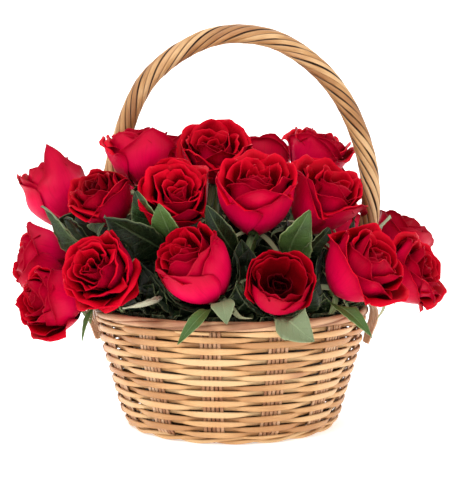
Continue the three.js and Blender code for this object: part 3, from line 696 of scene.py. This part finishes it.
bm = bmesh.new()
inner = liner["topRadius"] - liner["wall"]
spunProfile(bm, [(0, liner["bottom"]), (60, liner["bottom"]),
                 (liner["bottomRadius"], liner["bottom"] + 0.8),
                 (74, 28), (78, 52), (81, 70), (liner["topRadius"], liner["top"]), (inner, liner["top"]),
                 (80, 70), (77, 52), (73, 28), (liner["bottomRadius"] - 1.2, liner["bottom"] + 2),
                 (0, liner["bottom"] + liner["wall"])], 96)
for vert in bm.verts:  # soft vertical pleats that fade towards the floor
    angle = atan2(vert.co.y, vert.co.x)
    pleat = 0.35 * sin(angle * 12) + 0.25 * wobble(angle * 9, vert.co.z / 20)
    vert.co += flatWay(vert.co) * smoothStep(10, 80, vert.co.z) * pleat
keep(bm, "liner_bowl", ["liner"], [linerFilm])

bm = bmesh.new()
low = liner["bottom"] + liner["wall"] + 0.4
spunProfile(bm, [(0, low), (66, low), (liner["bottomRadius"] - 3, low + 1), (78, 60),
                 (81.2, foam["shoulder"] - 1.5), (79.5, foam["shoulder"] + 0.3), (70, 96.8),
                 (foam["topRadius"], foam["top"] - 0.3), (50, foam["top"]), (36, foam["top"]),
                 (20, foam["top"]), (0, foam["top"])], 72)
for vert in bm.verts:
    if vert.co.z > foam["shoulder"] - 3:
        vert.co.z += 0.7 * wobble(vert.co.x / 9, vert.co.y / 9) - 0.4
keep(bm, "foam_block", ["foam"], [wetFoam])
print("liner and foam in place")


bloom = {
    "radius": 27, "height": 46, "columns": 16, "rows": 15, "thickness": 0.4,
    "base": 0.24, "shoulders": 0.2, "tip": 0.05, "ragged": 0.035, "ruffle": 0.065, "crumple": 0.1,
    "pinch": 0.17, "aside": 0.075, "slack": (-0.25, 0.45), "apart": 0.4, "wallReach": 1.5, "easeFrom": 0.72,
    # whorls from the outside in: petals, belly, lip and height as shares of the bloom's own,
    # then how far the lip rolls back and half the petal's width, in degrees
    "whorls": [
        (3, 0.97, 1.06, 0.92, 140, 72),
        (4, 0.85, 0.91, 0.98, 110, 58),
        (4, 0.71, 0.7, 1.02, 75, 56),
        (3, 0.55, 0.51, 1.03, 45, 74),
        (3, 0.41, 0.36, 1.01, 25, 78),
        (2, 0.27, 0.21, 0.98, 12, 118),
        (1, 0.13, 0.09, 0.94, 5, 190),
    ],
}
plainBloom = {  # what sets one bloom apart from the others
    "tall": 1,  # its height against its width
    "heart": (0, 0, 0),  # where its middle leans, in mm
    "tips": 1,  # how pointed its outer petals are
    "roll": 1, "open": 0,  # how their lips roll back and stand out
    "calm": 0,  # takes out their random slack
    "loose": ((0, 0, -1), 0),  # which way one of them hangs off, and how far
    "fan": 0,  # opens the lips of the inner petals
    "deep": 0, "dark": 0, "without": None,  # a sunk heart, a tone shift that deepens or eases the painted shade, a whorl left out
}


def roseAt(name, at, faces, size, **looks):
    made = {**plainBloom, **looks, "name": name, "centre": Vector(at), "axis": Vector(faces).normalized()}
    made["radius"] = bloom["radius"] * size
    made["height"] = bloom["height"] * size * made["tall"]
    made["base"] = made["centre"] - made["axis"] * made["height"] * 0.5
    return made


roses = [
    roseAt("left_high", (-153, 36, 192), (-0.42, 0.12, 0.9), 1.08,
           tall=1.15, tips=6, roll=0.12, open=-0.18, calm=0.8),
    roseAt("left_inner", (-102, -48, 191), (-0.45, -0.5, 0.72), 0.9, heart=(-3, 0, 2), dark=1.1, fan=0.5),
    roseAt("left_top", (-77, -27, 225), (-0.08, 0.05, 1), 0.92, tall=1.1, tips=2, roll=0.8),
    roseAt("crown", (-14, 16, 225), (0.02, -0.62, 0.78), 1, heart=(0, -2, -3), fan=0.6),
    roseAt("front_top_left", (-45, -56, 193), (0.08, -0.74, 0.62), 1,
           heart=(3, -3, -5), tips=2, open=0.22, dark=-0.4, fan=1),
    roseAt("front_top", (19, -66, 193), (0.02, -0.42, 0.9), 1.16,
           tall=1.05, heart=(2, -3, -3), roll=0.75, dark=-0.3, fan=0.6),
    roseAt("front_top_right", (72, -46, 190), (0.38, -0.45, 0.8), 1.07,
           tall=1.1, heart=(6, -2, -2), roll=0.75, loose=((1, 0, -0.3), 0.6), fan=0.5),
    roseAt("right_top", (73, 20, 226), (0.3, -0.05, 0.95), 0.95, tips=2),
    roseAt("back_top_right", (28, 74, 219), (0.1, 0.3, 0.9), 0.95),
    roseAt("back_top_left", (-52, 64, 218), (-0.12, 0.3, 0.95), 0.95),
    roseAt("left_far", (-159, -2, 140), (-0.92, -0.12, 0.22), 0.95,
           tips=2.5, roll=0.35, open=-0.06, calm=0.7, loose=((0, -1, 0.3), 0.5)),
    roseAt("left_low", (-143, -50, 110), (-0.82, -0.55, 0.1), 1,
           heart=(-4, 0, 5), roll=0.4, open=-0.14, loose=((-0.3, -0.3, -1), 0.8)),
    roseAt("front_left", (-99, -88, 136), (-0.36, -0.8, 0.42), 0.98,
           heart=(-6, 0, -2), roll=0.6, open=-0.06, dark=-0.2, loose=((1, 0, -0.9), 3.4), fan=0.6),
    roseAt("front_mid", (-25, -96, 139), (-0.5, -0.5, 0.68), 1.1,
           tall=1.1, heart=(-5, -2, 1), tips=1.5, roll=0.12, open=-0.16, calm=1, fan=0.3),
    roseAt("front_low", (36, -106, 128), (0.04, -0.85, 0.5), 0.94,
           tall=0.84, deep=0.5, dark=2, roll=0.35, open=-0.1, without=3, loose=((-0.7, 0, -1), -1.6)),
    roseAt("front_right", (99, -78, 138), (0.55, -0.5, 0.6), 1.12,
           heart=(3, 0, 2), roll=0.8, loose=((0, -0.3, -1), 1.1)),
    roseAt("right_far", (145, -36, 130), (0.75, -0.45, 0.4), 0.97,
           dark=0.4, fan=0.4, loose=((0.4, 0, -1), 1.1)),
    roseAt("right_high", (147, 30, 153), (0.5, 0.1, 0.85), 0.86, roll=0.5, dark=1.5, calm=0.5),
    roseAt("right_inner", (82, 66, 196), (0.3, 0.4, 0.85), 0.95),
    roseAt("back_left", (-108, 80, 184), (-0.45, 0.65, 0.65), 1),
    roseAt("back_mid", (-14, 114, 184), (-0.05, 0.7, 0.7), 1.02),
    roseAt("back_right", (98, 102, 146), (0.45, 0.75, 0.5), 1),
    roseAt("back_low_left", (-78, 110, 138), (-0.35, 0.85, 0.4), 1),
    roseAt("back_low_mid", (20, 126, 132), (0.1, 0.95, 0.25), 1),
]

for rose in roses:  # the planes that keep neighbouring blooms apart
    rose["walls"] = []
    for other in roses:
        if other is rose:
            continue
        towards = other["centre"] - rose["centre"]
        distance = towards.length
        limit = distance * rose["radius"] / (rose["radius"] + other["radius"]) - bloom["apart"]
        if limit <= rose["radius"] * bloom["wallReach"]:
            rose["walls"].append((towards / distance, limit))


def pressed(point, rose):
    for _ in range(2):
        for towards, limit in rose["walls"]:
            reach = (point - rose["centre"]).dot(towards)
            start = limit * bloom["easeFrom"]
            if reach > start:
                eased = start + (limit - start) * (1 - exp(-(reach - start) / (limit - start)))
                point = point + towards * (eased - reach)
    return point


def bloomFrame(rose, turn):
    turned = upwards.rotation_difference(rose["axis"]) @ Quaternion((0, 0, 1), turn)
    return Matrix.Translation(rose["base"]) @ turned.to_matrix().to_4x4()


def petal(bm, rose, stand, angle, whorl, draw, depth):
    belly, lip, high, roll, halfWidth = whorl[1:]
    radius, height = rose["radius"], rose["height"]
    way = stand.to_3x3() @ around(1, angle, 0)
    towards, slack = rose["loose"]
    slack *= max(0, way.dot(Vector(towards).normalized())) ** 3 * (1 - depth)
    slack += draw.uniform(*bloom["slack"]) * (1 - depth) * (1 - rose["calm"])
    outer = smoothStep(0.4, 0.05, depth)
    belly *= draw.uniform(0.97, 1.03)
    lip *= draw.uniform(0.95, 1.05) + 0.16 * slack + rose["open"] * outer
    high = high * draw.uniform(0.94, 1.03) - 0.09 * slack - rose["deep"] * depth ** 2
    roll = radians(roll) * (draw.uniform(0.7, 1.2) + 0.3 * slack)
    roll *= 1 + (rose["roll"] - 1) * smoothStep(0.55, 0.2, depth)
    half = radians(halfWidth) * draw.uniform(0.95, 1.06)
    tucked = draw.uniform(0.25, 0.7)
    slope = swing(draw, 0.08)
    seed = draw.uniform(0, 90)
    fan = rose["fan"] * smoothStep(0, 0.2, depth) * (1 - 0.5 * depth)
    lip += 0.14 * fan
    roll += radians(70) * fan
    overlap = 0.035 + 0.09 * (1 - belly)
    foot = 0.32 * depth
    rise = (high - foot) * height
    flat = 0.09 * (1 - depth)
    bite = (0.08 + 0.1 * (1 - depth)) * (1 + 0.4 * slack) + 0.07 * fan
    tip = bloom["tip"] * draw.uniform(0.4, 1.5) * (rose["tips"] if depth == 0 else 1 + fan)
    shoulders = bloom["shoulders"] + 0.12 * outer
    pinchAt = swing(draw, 0.6)
    pinch = draw.uniform(0, bloom["pinch"]) * smoothStep(0.1, 0.45, depth)
    aside = Vector((swing(draw, 1), swing(draw, 1), 0))
    aside *= bloom["aside"] * radius * 4 * depth * (1 - depth)

    def profile(t):  # the petal's middle line, from base to lip
        swell = sin(pi / 2 * min(1, t / 0.74)) ** 0.85
        r = bloom["base"] * belly + belly * (1 - bloom["base"]) * swell
        r += (lip - belly) * smoothStep(0.45, 1, t)
        return r * radius, foot * height + rise * t ** 1.06

    def place(u, v):
        a = 2 * u - 1
        side = abs(a)
        freeSide = 1 if a > 0 else tucked
        fading = 1 - smoothStep(0.72, 1, side)
        reach = 1 - shoulders * side ** 2.6 + tip * max(0, 1 - side / 0.5) ** 1.4
        s = (1 - (1 - v) ** 1.3) * reach
        rolled = bite * (0.5 + 0.9 * side ** 1.6 * freeSide) * (0.25 + 0.75 * fading)
        start = reach - rolled
        r, z = profile(min(s, start))
        if s > start:  # the lip rolls back on an arc
            below, above = profile(start - 0.02), profile(start + 0.02)
            lean = atan2(above[0] - below[0], above[1] - below[1])
            bend = roll * (0.6 + 0.6 * side ** 1.5 * freeSide) * (0.15 + 0.85 * fading)
            arc = rolled * rise / bend
            turned = bend * (s - start) / rolled
            r += arc * (cos(lean) - cos(lean + turned))
            z += arc * (sin(lean + turned) - sin(lean))
        edge = smoothStep(0.62, 1, max(side ** 1.5, v))
        r *= 1 + overlap * a + flat * side ** 2 * smoothStep(0.5, 1, s) * fading
        r += radius * 0.022 * smoothStep(0.2, 0.6, s) * wobble(a * 1.3 + seed, s * 2)
        r += radius * bloom["ragged"] * edge * wobble(a * 2.4 + seed, v * 2, 4)
        r += radius * bloom["ruffle"] * smoothStep(0.7, 1, v) * wobble(a * 4.3 + seed, depth * 9, 2)
        r *= 1 - pinch * exp(-((a - pinchAt) / 0.22) ** 2) * smoothStep(0.45, 1, s) / belly
        z += height * bloom["ragged"] * edge * wobble(a * 2.9, seed, v * 1.5)
        z += a * slope * height * smoothStep(0.4, 1, s)
        wide = 0.4 + 0.6 * sin(pi / 2 * min(1, s / 0.6))
        spot = around(r, angle + a * half * wide, z) + aside * smoothStep(0.3, 1, s)
        return pressed(stand @ crumpled(spot, rose), rose)

    # the tone sets the painted shade: it grows with depth into the bloom, at random, and with the bloom's
    # dark setting
    tone = depth * 0.75 + draw.uniform(0, 0.25) + rose["dark"] * (0.25 + 0.75 * depth)
    bentGrid(bm, bloom["columns"], bloom["rows"], place, tone)


def crumpled(point, rose):
    # one soft dent field through a whole bloom, so that its petals bend together
    radius, height = rose["radius"], rose["height"]
    up = smoothStep(0.25, 0.85, point.z / height)
    inner = 1 - min(1, hypot(point.x, point.y) / radius)
    shift = rose["heart"] * inner * up
    size = bloom["crumple"] * radius * up
    spot = point / (radius * 0.55)
    for shrink, strength in ((1, 1), (2.3, 0.45)):
        shift += Vector((wobble(spot.x * shrink + rose["seed"], spot.y * shrink, spot.z),
                         wobble(spot.x * shrink, spot.y * shrink + rose["seed"], spot.z + 9),
                         0.8 * wobble(spot.x * shrink, spot.y * shrink, rose["seed"]))) * size * strength
    return point + shift


for order, rose in enumerate(roses):
    draw = random.Random(100 + order)
    bm = bmesh.new()
    stand = bloomFrame(rose, order * 0.9)
    rose["seed"] = order * 7.3
    rose["heart"] = stand.to_3x3().inverted() @ Vector(rose["heart"])
    rose["heart"] += Vector((swing(draw, 2), swing(draw, 2), 0))
    turn = draw.uniform(0, 6.28)
    for level, whorl in enumerate(bloom["whorls"]):
        if level == rose["without"]:
            continue
        turn += 2.4
        for k in range(whorl[0]):
            angle = turn + 2 * pi * k / whorl[0] + radians(swing(draw, 7))
            petal(bm, rose, stand, angle, whorl, draw, level / (len(bloom["whorls"]) - 1))
    piece = keep(bm, "rose_%s_petals" % rose["name"], ["rose_" + rose["name"]],
                 [petalBack, petalFace, petalEdge], False)
    thicken(piece, bloom["thickness"], -1, 2)
print("roses opened:", len(roses))


stem = {"radius": 2.2, "bends": 4, "sides": 9, "steps": 36, "thorns": (12, 18, 24, 30), "thorn": 3.4}
leafShape = {"stalk": 0.26, "columns": 8, "rows": 22, "thickness": 0.4, "clear": 2.2}
calyx = {"hip": 5.4, "sepals": 5, "length": 0.68, "halfWidth": 3.8}
handleLine = [handleTurn @ point for point in archLine[::3]]
ledges = [(-1, 86, foam["top"]), (86, 106, 93), (106, rim["radius"] + 8.5, 102)]  # from, to, height

# The large leaves: the rose and the bend of its stem that each grows from, its tip, width and the
# way it faces. Most also have the point they bow through and a tone, which is low in the shade.
leaves = [
    ("left_far", 3, (-157, -32, 187), 32, "out", (-122, -44, 160), 0.38),
    ("left_far", 3, (-141, -10, 176), 26, "out", (-118, -30, 164), 0.25),
    ("left_inner", 3, (-100, -70, 175), 26, "out", (-124, -60, 158), 0.32),
    ("front_top_left", 3, (-99, -94, 182), 38, "out", (-64, -88, 162), 0.2),
    ("front_top_left", 3, (-75, -84, 201), 33, "out", (-60, -84, 168), 0.45),
    ("front_top_left", 3, (-56, -103, 192), 25, "out", (-50, -99, 170), 0.95),
    ("front_top", 3, (-20, -92, 190), 21, "out", (-6, -90, 163), 0.28),
    ("front_top_right", 3, (61, -94, 186), 34, "out", (38, -90, 154), 0.6),
    ("front_top_right", 3, (77, -80, 172), 28, "out", (62, -80, 148), 0.25),
    ("right_far", 3, (97, -42, 187), 16, "out", (90, -50, 160), 0.2),
    ("right_far", 3, (130, -46, 179), 22, "out", (108, -40, 168), 1.3),
    ("front_left", 2, (-83, -120, 113), 17, "up", (-50, -122, 110), 1.6),
    ("front_mid", 4, (-41, -128, 87), 10, "out", (-22, -128, 112), 0.8),
    ("front_mid", 4, (-4, -126, 102), 18, "out", (-8, -124, 126), 1.25),
    ("front_low", 3, (63, -120, 88), 30, "out", (34, -126, 110), 1.25),
    ("front_right", 3, (108, -104, 88), 14, "out", (84, -104, 114), 0.7),
    ("left_low", 4, (-121, -64, 79), 9, "out", (-108, -70, 102), 0.9),
    ("left_inner", 2, (-124, -12, 186), 36, "front", (-120, -24, 160), 0.12),
    ("front_top_right", 2, (46, -44, 192), 28, "out", (52, -48, 166), 0.12),
    ("right_inner", 3, (40, 46, 196), 34, "out", (58, 50, 168), 0.1),
    ("back_top_right", 3, (54, 40, 186), 32, "out", (42, 56, 166), 0.1),
    ("crown", 2, (10, -34, 182), 34, "out", (2, -20, 158), 0.1),
    ("back_left", 3, (-142, 40, 180), 34, "out", (-120, 44, 156), 0.1),
    ("left_high", 3, (-150, -6, 172), 30, "front", (-124, 2, 170), 0.15),
    ("back_left", 3, (-166, 84, 152), 31, "up"),
    ("back_low_left", 2, (-126, 118, 112), 30, "up"),
    ("back_low_left", 3, (-36, 148, 112), 29, "up"),
    ("back_mid", 3, (-62, 122, 172), 29, "out"),
    ("back_low_mid", 3, (66, 146, 108), 30, "up"),
    ("back_right", 3, (142, 92, 118), 30, "up"),
    ("right_high", 3, (140, 78, 142), 28, "up"),
    ("right_inner", 3, (58, 130, 168), 28, "out"),
]


def bentClear(point, own, room):
    for rose in roses:
        if rose is own:
            continue
        away = point - rose["centre"]
        need = rose["radius"] + room
        if away.length < need:
            point = rose["centre"] + away.normalized() * need
    flat = hypot(point.x, point.y)
    for within, beyond, above in ledges:
        if within < flat <= beyond and point.z < above + room:
            point = Vector((point.x, point.y, above + room))
    for centre in handleLine:
        away = point - centre
        need = handle["radius"] + room + 1
        if away.length < need:
            point = centre + away.normalized() * need
    return point


def stemLine(rose):
    flat = hypot(rose["centre"].x, rose["centre"].y)
    lowness = (240 - rose["centre"].z) / 130
    r = min(flat * 0.6, 16 + 54 * lowness)
    x, y = rose["centre"].x * r / flat, rose["centre"].y * r / flat
    slope = (foam["top"] - foam["shoulder"]) / (liner["topRadius"] - 2 - foam["topRadius"])
    entry = Vector((x, y, foam["top"] - max(0, hypot(x, y) - foam["topRadius"]) * slope))
    way = ((rose["base"] - entry).normalized() + upwards * 0.6).normalized()
    foot = rose["base"] - rose["axis"] * 3
    length = (foot - entry).length
    p1, p2 = entry + way * length * 0.35, foot - rose["axis"] * length * 0.3
    points = [entry - way * 26, entry + way * 3]
    for k in range(1, stem["bends"]):
        t = k / stem["bends"]
        bezier = entry * (1 - t) ** 3 + p1 * 3 * t * (1 - t) ** 2 + p2 * 3 * t * t * (1 - t) + foot * t ** 3
        points.append(bentClear(bezier, rose, stem["radius"] + 3.5))
    points.append(foot)
    return points


def leafBlade(bm, root, tip, width, facing, tone, seed, through=None, bowed=0.12):
    through = through or (root + tip) / 2
    reach = (tip - through) * 2
    across = reach.cross(facing).normalized()
    normal = across.cross(reach).normalized()
    stalk = leafShape["stalk"]

    def place(u, v):
        a = 2 * u - 1
        opened = max(0, (v - stalk) / (1 - stalk))
        outline = sin(pi * opened ** 0.75) ** 0.85 if 0 < opened < 1 else 0
        teeth = 1 + 0.08 * (0.5 - (opened * 14) % 1) * abs(a) ** 3
        half = max(width / 2 * outline * teeth, 0.7 if v < 0.97 else 0.1)
        fold = 0.42 * half * (1 - abs(a))
        ripple = 0.06 * half * sin(opened * 36 - abs(a) * 5 + seed) * abs(a)
        curl = 0.16 * width * wobble(opened * 1.9, seed, a * 0.8) * opened
        arch = bowed * reach.length * sin(pi * v)
        point = root * (1 - v) ** 2 + through * 2 * v * (1 - v) + tip * v * v
        point += across * a * half + normal * (arch - fold + ripple + curl)
        return bentClear(point, None, leafShape["clear"]) if v > 0.1 else point

    bentGrid(bm, leafShape["columns"], leafShape["rows"], place, tone)


def sepal(bm, rose, stand, angle, length, droop, tone):
    seed = angle * 3.1 + tone * 9
    root = calyx["hip"] * 0.9

    def place(u, v):
        a = 2 * u - 1
        half = calyx["halfWidth"] * (1 - v) ** 0.8 * (0.6 + 1.4 * v * (1 - v)) + 0.15
        r = root + (length * (1 - droop * 0.3) - root) * sin(v * 1.35) / 0.976
        z = -1.6 - length * droop * v ** 1.7 + 1.2 * abs(a) * (1 - v)
        turn = angle + a * half / max(r, 2) + 0.35 * v * v * wobble(v * 1.5, seed)
        z += 3.5 * v * wobble(v * 2, seed, 5)
        point = stand @ around(r, turn, z)
        return bentClear(point, rose, 1.6) if v > 0.4 else point

    bentGrid(bm, 4, 10, place, tone, 2)


def hip(bm, stand):
    made = bmesh.ops.create_uvsphere(bm, u_segments=12, v_segments=8, radius=1)["verts"]
    for vert in made:
        x, y, z = vert.co
        vert.co = stand @ Vector((x * calyx["hip"], y * calyx["hip"], -3.2 + z * (4.6 if z < 0 else 3)))
        for face in vert.link_faces:
            face.smooth = True


def thorn(bm, line, at, draw):  # hooked down the stem
    point, way = line[at], (line[at + 1] - line[at - 1]).normalized()
    side = Quaternion(way, draw.uniform(0, 6.28)) @ way.orthogonal().normalized()
    lean = (side - way * 0.45).normalized()
    spot = Matrix.Translation(point + side * stem["radius"] * 0.9 + lean * stem["thorn"] * 0.4)
    spot = spot @ upwards.rotation_difference(lean).to_matrix().to_4x4()
    bmesh.ops.create_cone(bm, segments=6, cap_ends=True, radius1=1.1, radius2=0.08,
                          depth=stem["thorn"], matrix=spot)


def hidesBloom(point):  # true in front of a bloom's open face or its outer side
    for rose in roses:
        away = point - rose["centre"]
        for axis, start, room in ((rose["axis"], 0.25, 1.15), (flatWay(rose["centre"]), 0.35, 0.95)):
            ahead = away.dot(axis)
            if start * rose["radius"] < ahead < 3 * rose["radius"]:
                if (away - axis * ahead).length < rose["radius"] * room:
                    return True
    return False


def freeLeaf(bm, root, tip, width, facing, tone, seed, through=None, bowed=0.12):
    if not any(hidesBloom((through or root).lerp(tip, share)) for share in (0.5, 0.8, 1)):
        leafBlade(bm, root, tip, width, facing, tone, seed, through, bowed)


filler = {"count": 9, "lowest": 0.2, "highest": 0.8, "length": (26, 42), "width": (18, 30)}


def growFillers(bm, rose, line, draw):
    # leaves all round the stem, with their faces turned out of the bunch
    last = len(line) - 1
    outside = flatWay(rose["centre"])
    span = filler["highest"] - filler["lowest"]
    for k in range(filler["count"]):
        share = filler["lowest"] + span * (k + draw.random()) / filler["count"]
        root = line[round(share * last)]
        turn = Quaternion(upwards, radians(swing(draw, 180)))
        way = (turn @ outside * 0.8 + upwards * draw.uniform(0.1, 1.2)).normalized()
        tip = root + way * draw.uniform(*filler["length"])
        facing = (outside + upwards * draw.uniform(0, 0.4)).normalized()
        width = draw.uniform(*filler["width"])
        # a low tone paints these leaves in deep shade
        freeLeaf(bm, root, tip, width, facing, draw.uniform(0, 0.3), k + share)


collar = {  # spreads in degrees
    "count": 7, "root": 11, "spread": 32, "bend": (90, 99), "bendHeight": 110, "reach": (93, 108),
    "height": (124, 150), "width": (20, 30),
    "ledgeSpread": 22, "ledgeRoot": (80, 105), "ledgeReach": (105, 110), "ledgeHeight": 99,
    "ledgeWidth": (24, 32), "below": 160,
}


def growCollar(bm, rose, line, draw):
    # low stems spread leaves over the foam and up between the blooms and the rim
    middle = atan2(rose["centre"].y, rose["centre"].x)
    for k in range(collar["count"]):
        angle = middle + radians(swing(draw, collar["spread"]))
        bend = around(draw.uniform(*collar["bend"]), angle, collar["bendHeight"])
        reach = draw.uniform(*collar["reach"])
        tip = around(reach, angle + swing(draw, 0.2), draw.uniform(*collar["height"]))
        width = draw.uniform(*collar["width"])
        # a low tone paints these leaves in deep shade
        tone = draw.uniform(0, 0.28)
        facing = around(1, angle, 0)
        freeLeaf(bm, line[collar["root"]], tip, width, facing, tone, k * 2.1 + angle, bend, 0.1)
        # and some lie on the ledge between foam and wall
        angle = middle + radians(swing(draw, collar["ledgeSpread"]))
        root = around(collar["ledgeRoot"][0], angle, collar["ledgeRoot"][1])
        reach = draw.uniform(*collar["ledgeReach"])
        tip = around(reach, angle + swing(draw, 0.12), collar["ledgeHeight"])
        width = draw.uniform(*collar["ledgeWidth"])
        # a low tone paints these leaves in deep shade
        leafBlade(bm, root, tip, width, upwards, draw.uniform(0, 0.25), k + angle, None, 0.1)


gapLeaf = {
    "count": 3, "reach": 34, "rimSpots": 18, "rimHeight": 100, "rimRoom": 8, "rootDistance": (20, 62),
    "inwards": (-15, 0), "above": (2, 16), "aside": 8, "bendIn": 16, "bendBelow": (8, 18),
    "width": (20, 32),
}


def gapsBetween():
    # middles of the spaces between three blooms, or between blooms and the rim
    spots = [(rose["centre"], rose["radius"], rose["name"]) for rose in roses]
    for k in range(gapLeaf["rimSpots"]):
        angle = radians(360 * k / gapLeaf["rimSpots"])
        spots.append((around(rim["radius"], angle, gapLeaf["rimHeight"]), gapLeaf["rimRoom"], None))
    found = []
    for trio in itertools.combinations(spots, 3):
        names = [name for _, _, name in trio if name]
        pairs = itertools.combinations(trio, 2)
        near = all((a[0] - b[0]).length < a[1] + b[1] + gapLeaf["reach"] for a, b in pairs)
        if near and names:
            found.append(((trio[0][0] + trio[1][0] + trio[2][0]) / 3, names))
    return found


def growGapLeaves(bm, rose, line, draw):
    heart = Vector((0, 0, foam["top"] - 10))
    nearest, farthest = gapLeaf["rootDistance"]
    for middle, names in gaps:
        if rose["name"] not in names:
            continue
        outside = (middle - heart).normalized()
        for k in range(gapLeaf["count"] if len(names) < 3 else 1):
            tip = middle + outside * draw.uniform(*gapLeaf["inwards"])
            tip += upwards * draw.uniform(*gapLeaf["above"])
            tip += Vector((swing(draw, gapLeaf["aside"]), swing(draw, gapLeaf["aside"]), 0))
            bend = middle - outside * gapLeaf["bendIn"] - upwards * draw.uniform(*gapLeaf["bendBelow"])
            roots = [point for point in line[9:31] if nearest < (point - tip).length < farthest]
            if roots:
                root = draw.choice(roots)
                width = draw.uniform(*gapLeaf["width"])
                # a low tone paints these leaves in deep shade
                freeLeaf(bm, root, tip, width, outside, draw.uniform(0, 0.35), k + tip.x, bend)


gaps = gapsBetween()
print("gaps between blooms:", len(gaps))
for order, rose in enumerate(roses):
    draw = random.Random(500 + order)
    bends = stemLine(rose)
    line = roundLine(bends, stem["steps"])
    stand = bloomFrame(rose, order * 0.55 + 0.4)
    bm = bmesh.new()
    tubeAlong(bm, framesAlong(line), stem["sides"], flatRound(stem["radius"] * 2, stem["radius"] * 2, 1))
    for at in stem["thorns"]:
        thorn(bm, line, at, draw)
    hip(bm, stand)
    keep(bm, "stem_%s_stalk" % rose["name"], ["stem_" + rose["name"]], [stemBark])

    bm = bmesh.new()
    length = rose["height"] * calyx["length"]
    for k in range(calyx["sepals"]):
        droop = 0.1 + 0.7 * abs(sin(order * 2.1 + k * 3.4))
        angle = 2 * pi * k / calyx["sepals"]
        sepal(bm, rose, stand, angle, length * draw.uniform(0.95, 1.2), droop, draw.random())
    for index, (owner, bend, tip, width, looks, *more) in enumerate(leaves):
        if owner == rose["name"]:
            facing = {"up": upwards, "front": Vector((0, -1, 0)), "out": flatWay(tip)}[looks]
            through, tone = (Vector(more[0]), more[1]) if more else (None, draw.uniform(0.35, 0.9))
            leafBlade(bm, bends[bend], Vector(tip), width, facing, tone, index * 2.7, through)
    growFillers(bm, rose, line, draw)
    growGapLeaves(bm, rose, line, draw)
    if rose["centre"].z < collar["below"]:
        growCollar(bm, rose, line, draw)
    piece = keep(bm, "stem_%s_leaves" % rose["name"], ["stem_" + rose["name"]],
                 [leafFace, leafBack, sepalSkin, sepalSkin], False)
    thicken(piece, leafShape["thickness"], 0)
print("stems and leaves grown")


studio = {"near": -30, "far": 2.2, "height": 3.2, "half": 30, "corner": 1.2}
bm = bmesh.new()


def sweep(u, v):  # a floor that bends up into a wall behind
    flat = studio["far"] - studio["near"]
    total = flat + studio["corner"] * pi / 2 + studio["height"]
    s = v * total
    x = (u - 0.5) * 2 * studio["half"]
    if s < flat:
        return Vector((x, studio["near"] + s, 0))
    turned = min(pi / 2, (s - flat) / studio["corner"])
    rest = max(0, s - flat - studio["corner"] * pi / 2)
    return Vector((x, studio["far"] + studio["corner"] * sin(turned),
                   studio["corner"] * (1 - cos(turned)) + rest))


bentGrid(bm, 2, 300, sweep)
floorMesh = bpy.data.meshes.new("floor")
bm.to_mesh(floorMesh)
bm.free()
floor = linked("floor", floorMesh)
paper = Recipe("studio paper", {
    "Specular IOR Level": 0.1, "Roughness": 0.9, "Emission Color": (1, 1, 1, 1), "Emission Strength": 0.47})
grain = paper.noise(paper.spot(), 3, 2)
paper.feed("Base Color", paper.mix(grain, "f8f8f8", "fcfcfc"))
floorMesh.materials.append(paper.material)

world = bpy.data.worlds.new("studio")
bpy.context.scene.world = world
world.use_nodes = True
world.node_tree.nodes["Background"].inputs["Color"].default_value = (1, 1, 1, 1)
world.node_tree.nodes["Background"].inputs["Strength"].default_value = 0.8

lamps = {
    "key": {"at": (-1.0, -1.7, 1.9), "to": (0, 0, 0.15), "size": 1.2, "power": 30},
    "fill": {"at": (1.7, -1.3, 0.9), "to": (0, 0, 0.15), "size": 1.6, "power": 7},
    "top": {"at": (0.1, 0.5, 2.2), "to": (0, 0, 0.15), "size": 1.5, "power": 14},
    "wall": {"at": (0, 1.6, 2.6), "to": (0, 3.6, 1.0), "size": 2.0, "power": 26},
}
for name, lamp in lamps.items():
    data = bpy.data.lights.new(name, "AREA")
    data.energy = lamp["power"]
    data.size = lamp["size"]
    light = linked(name, data)
    light.location = lamp["at"]
    light.rotation_euler = (Vector(lamp["to"]) - light.location).to_track_quat("-Z", "Y").to_euler()

view = {"at": (-0.0053, -1.0, 0.232), "pitch": 4.697, "lens": 56.73}
data = bpy.data.cameras.new("camera")
data.sensor_fit = "VERTICAL"
data.sensor_height = 24
data.lens = view["lens"]
camera = linked("camera", data)
camera.location = view["at"]
camera.rotation_euler = (radians(90 - view["pitch"]), 0, 0)
bpy.context.scene.camera = camera
bpy.context.scene.view_settings.view_transform = "Standard"
print("studio set")
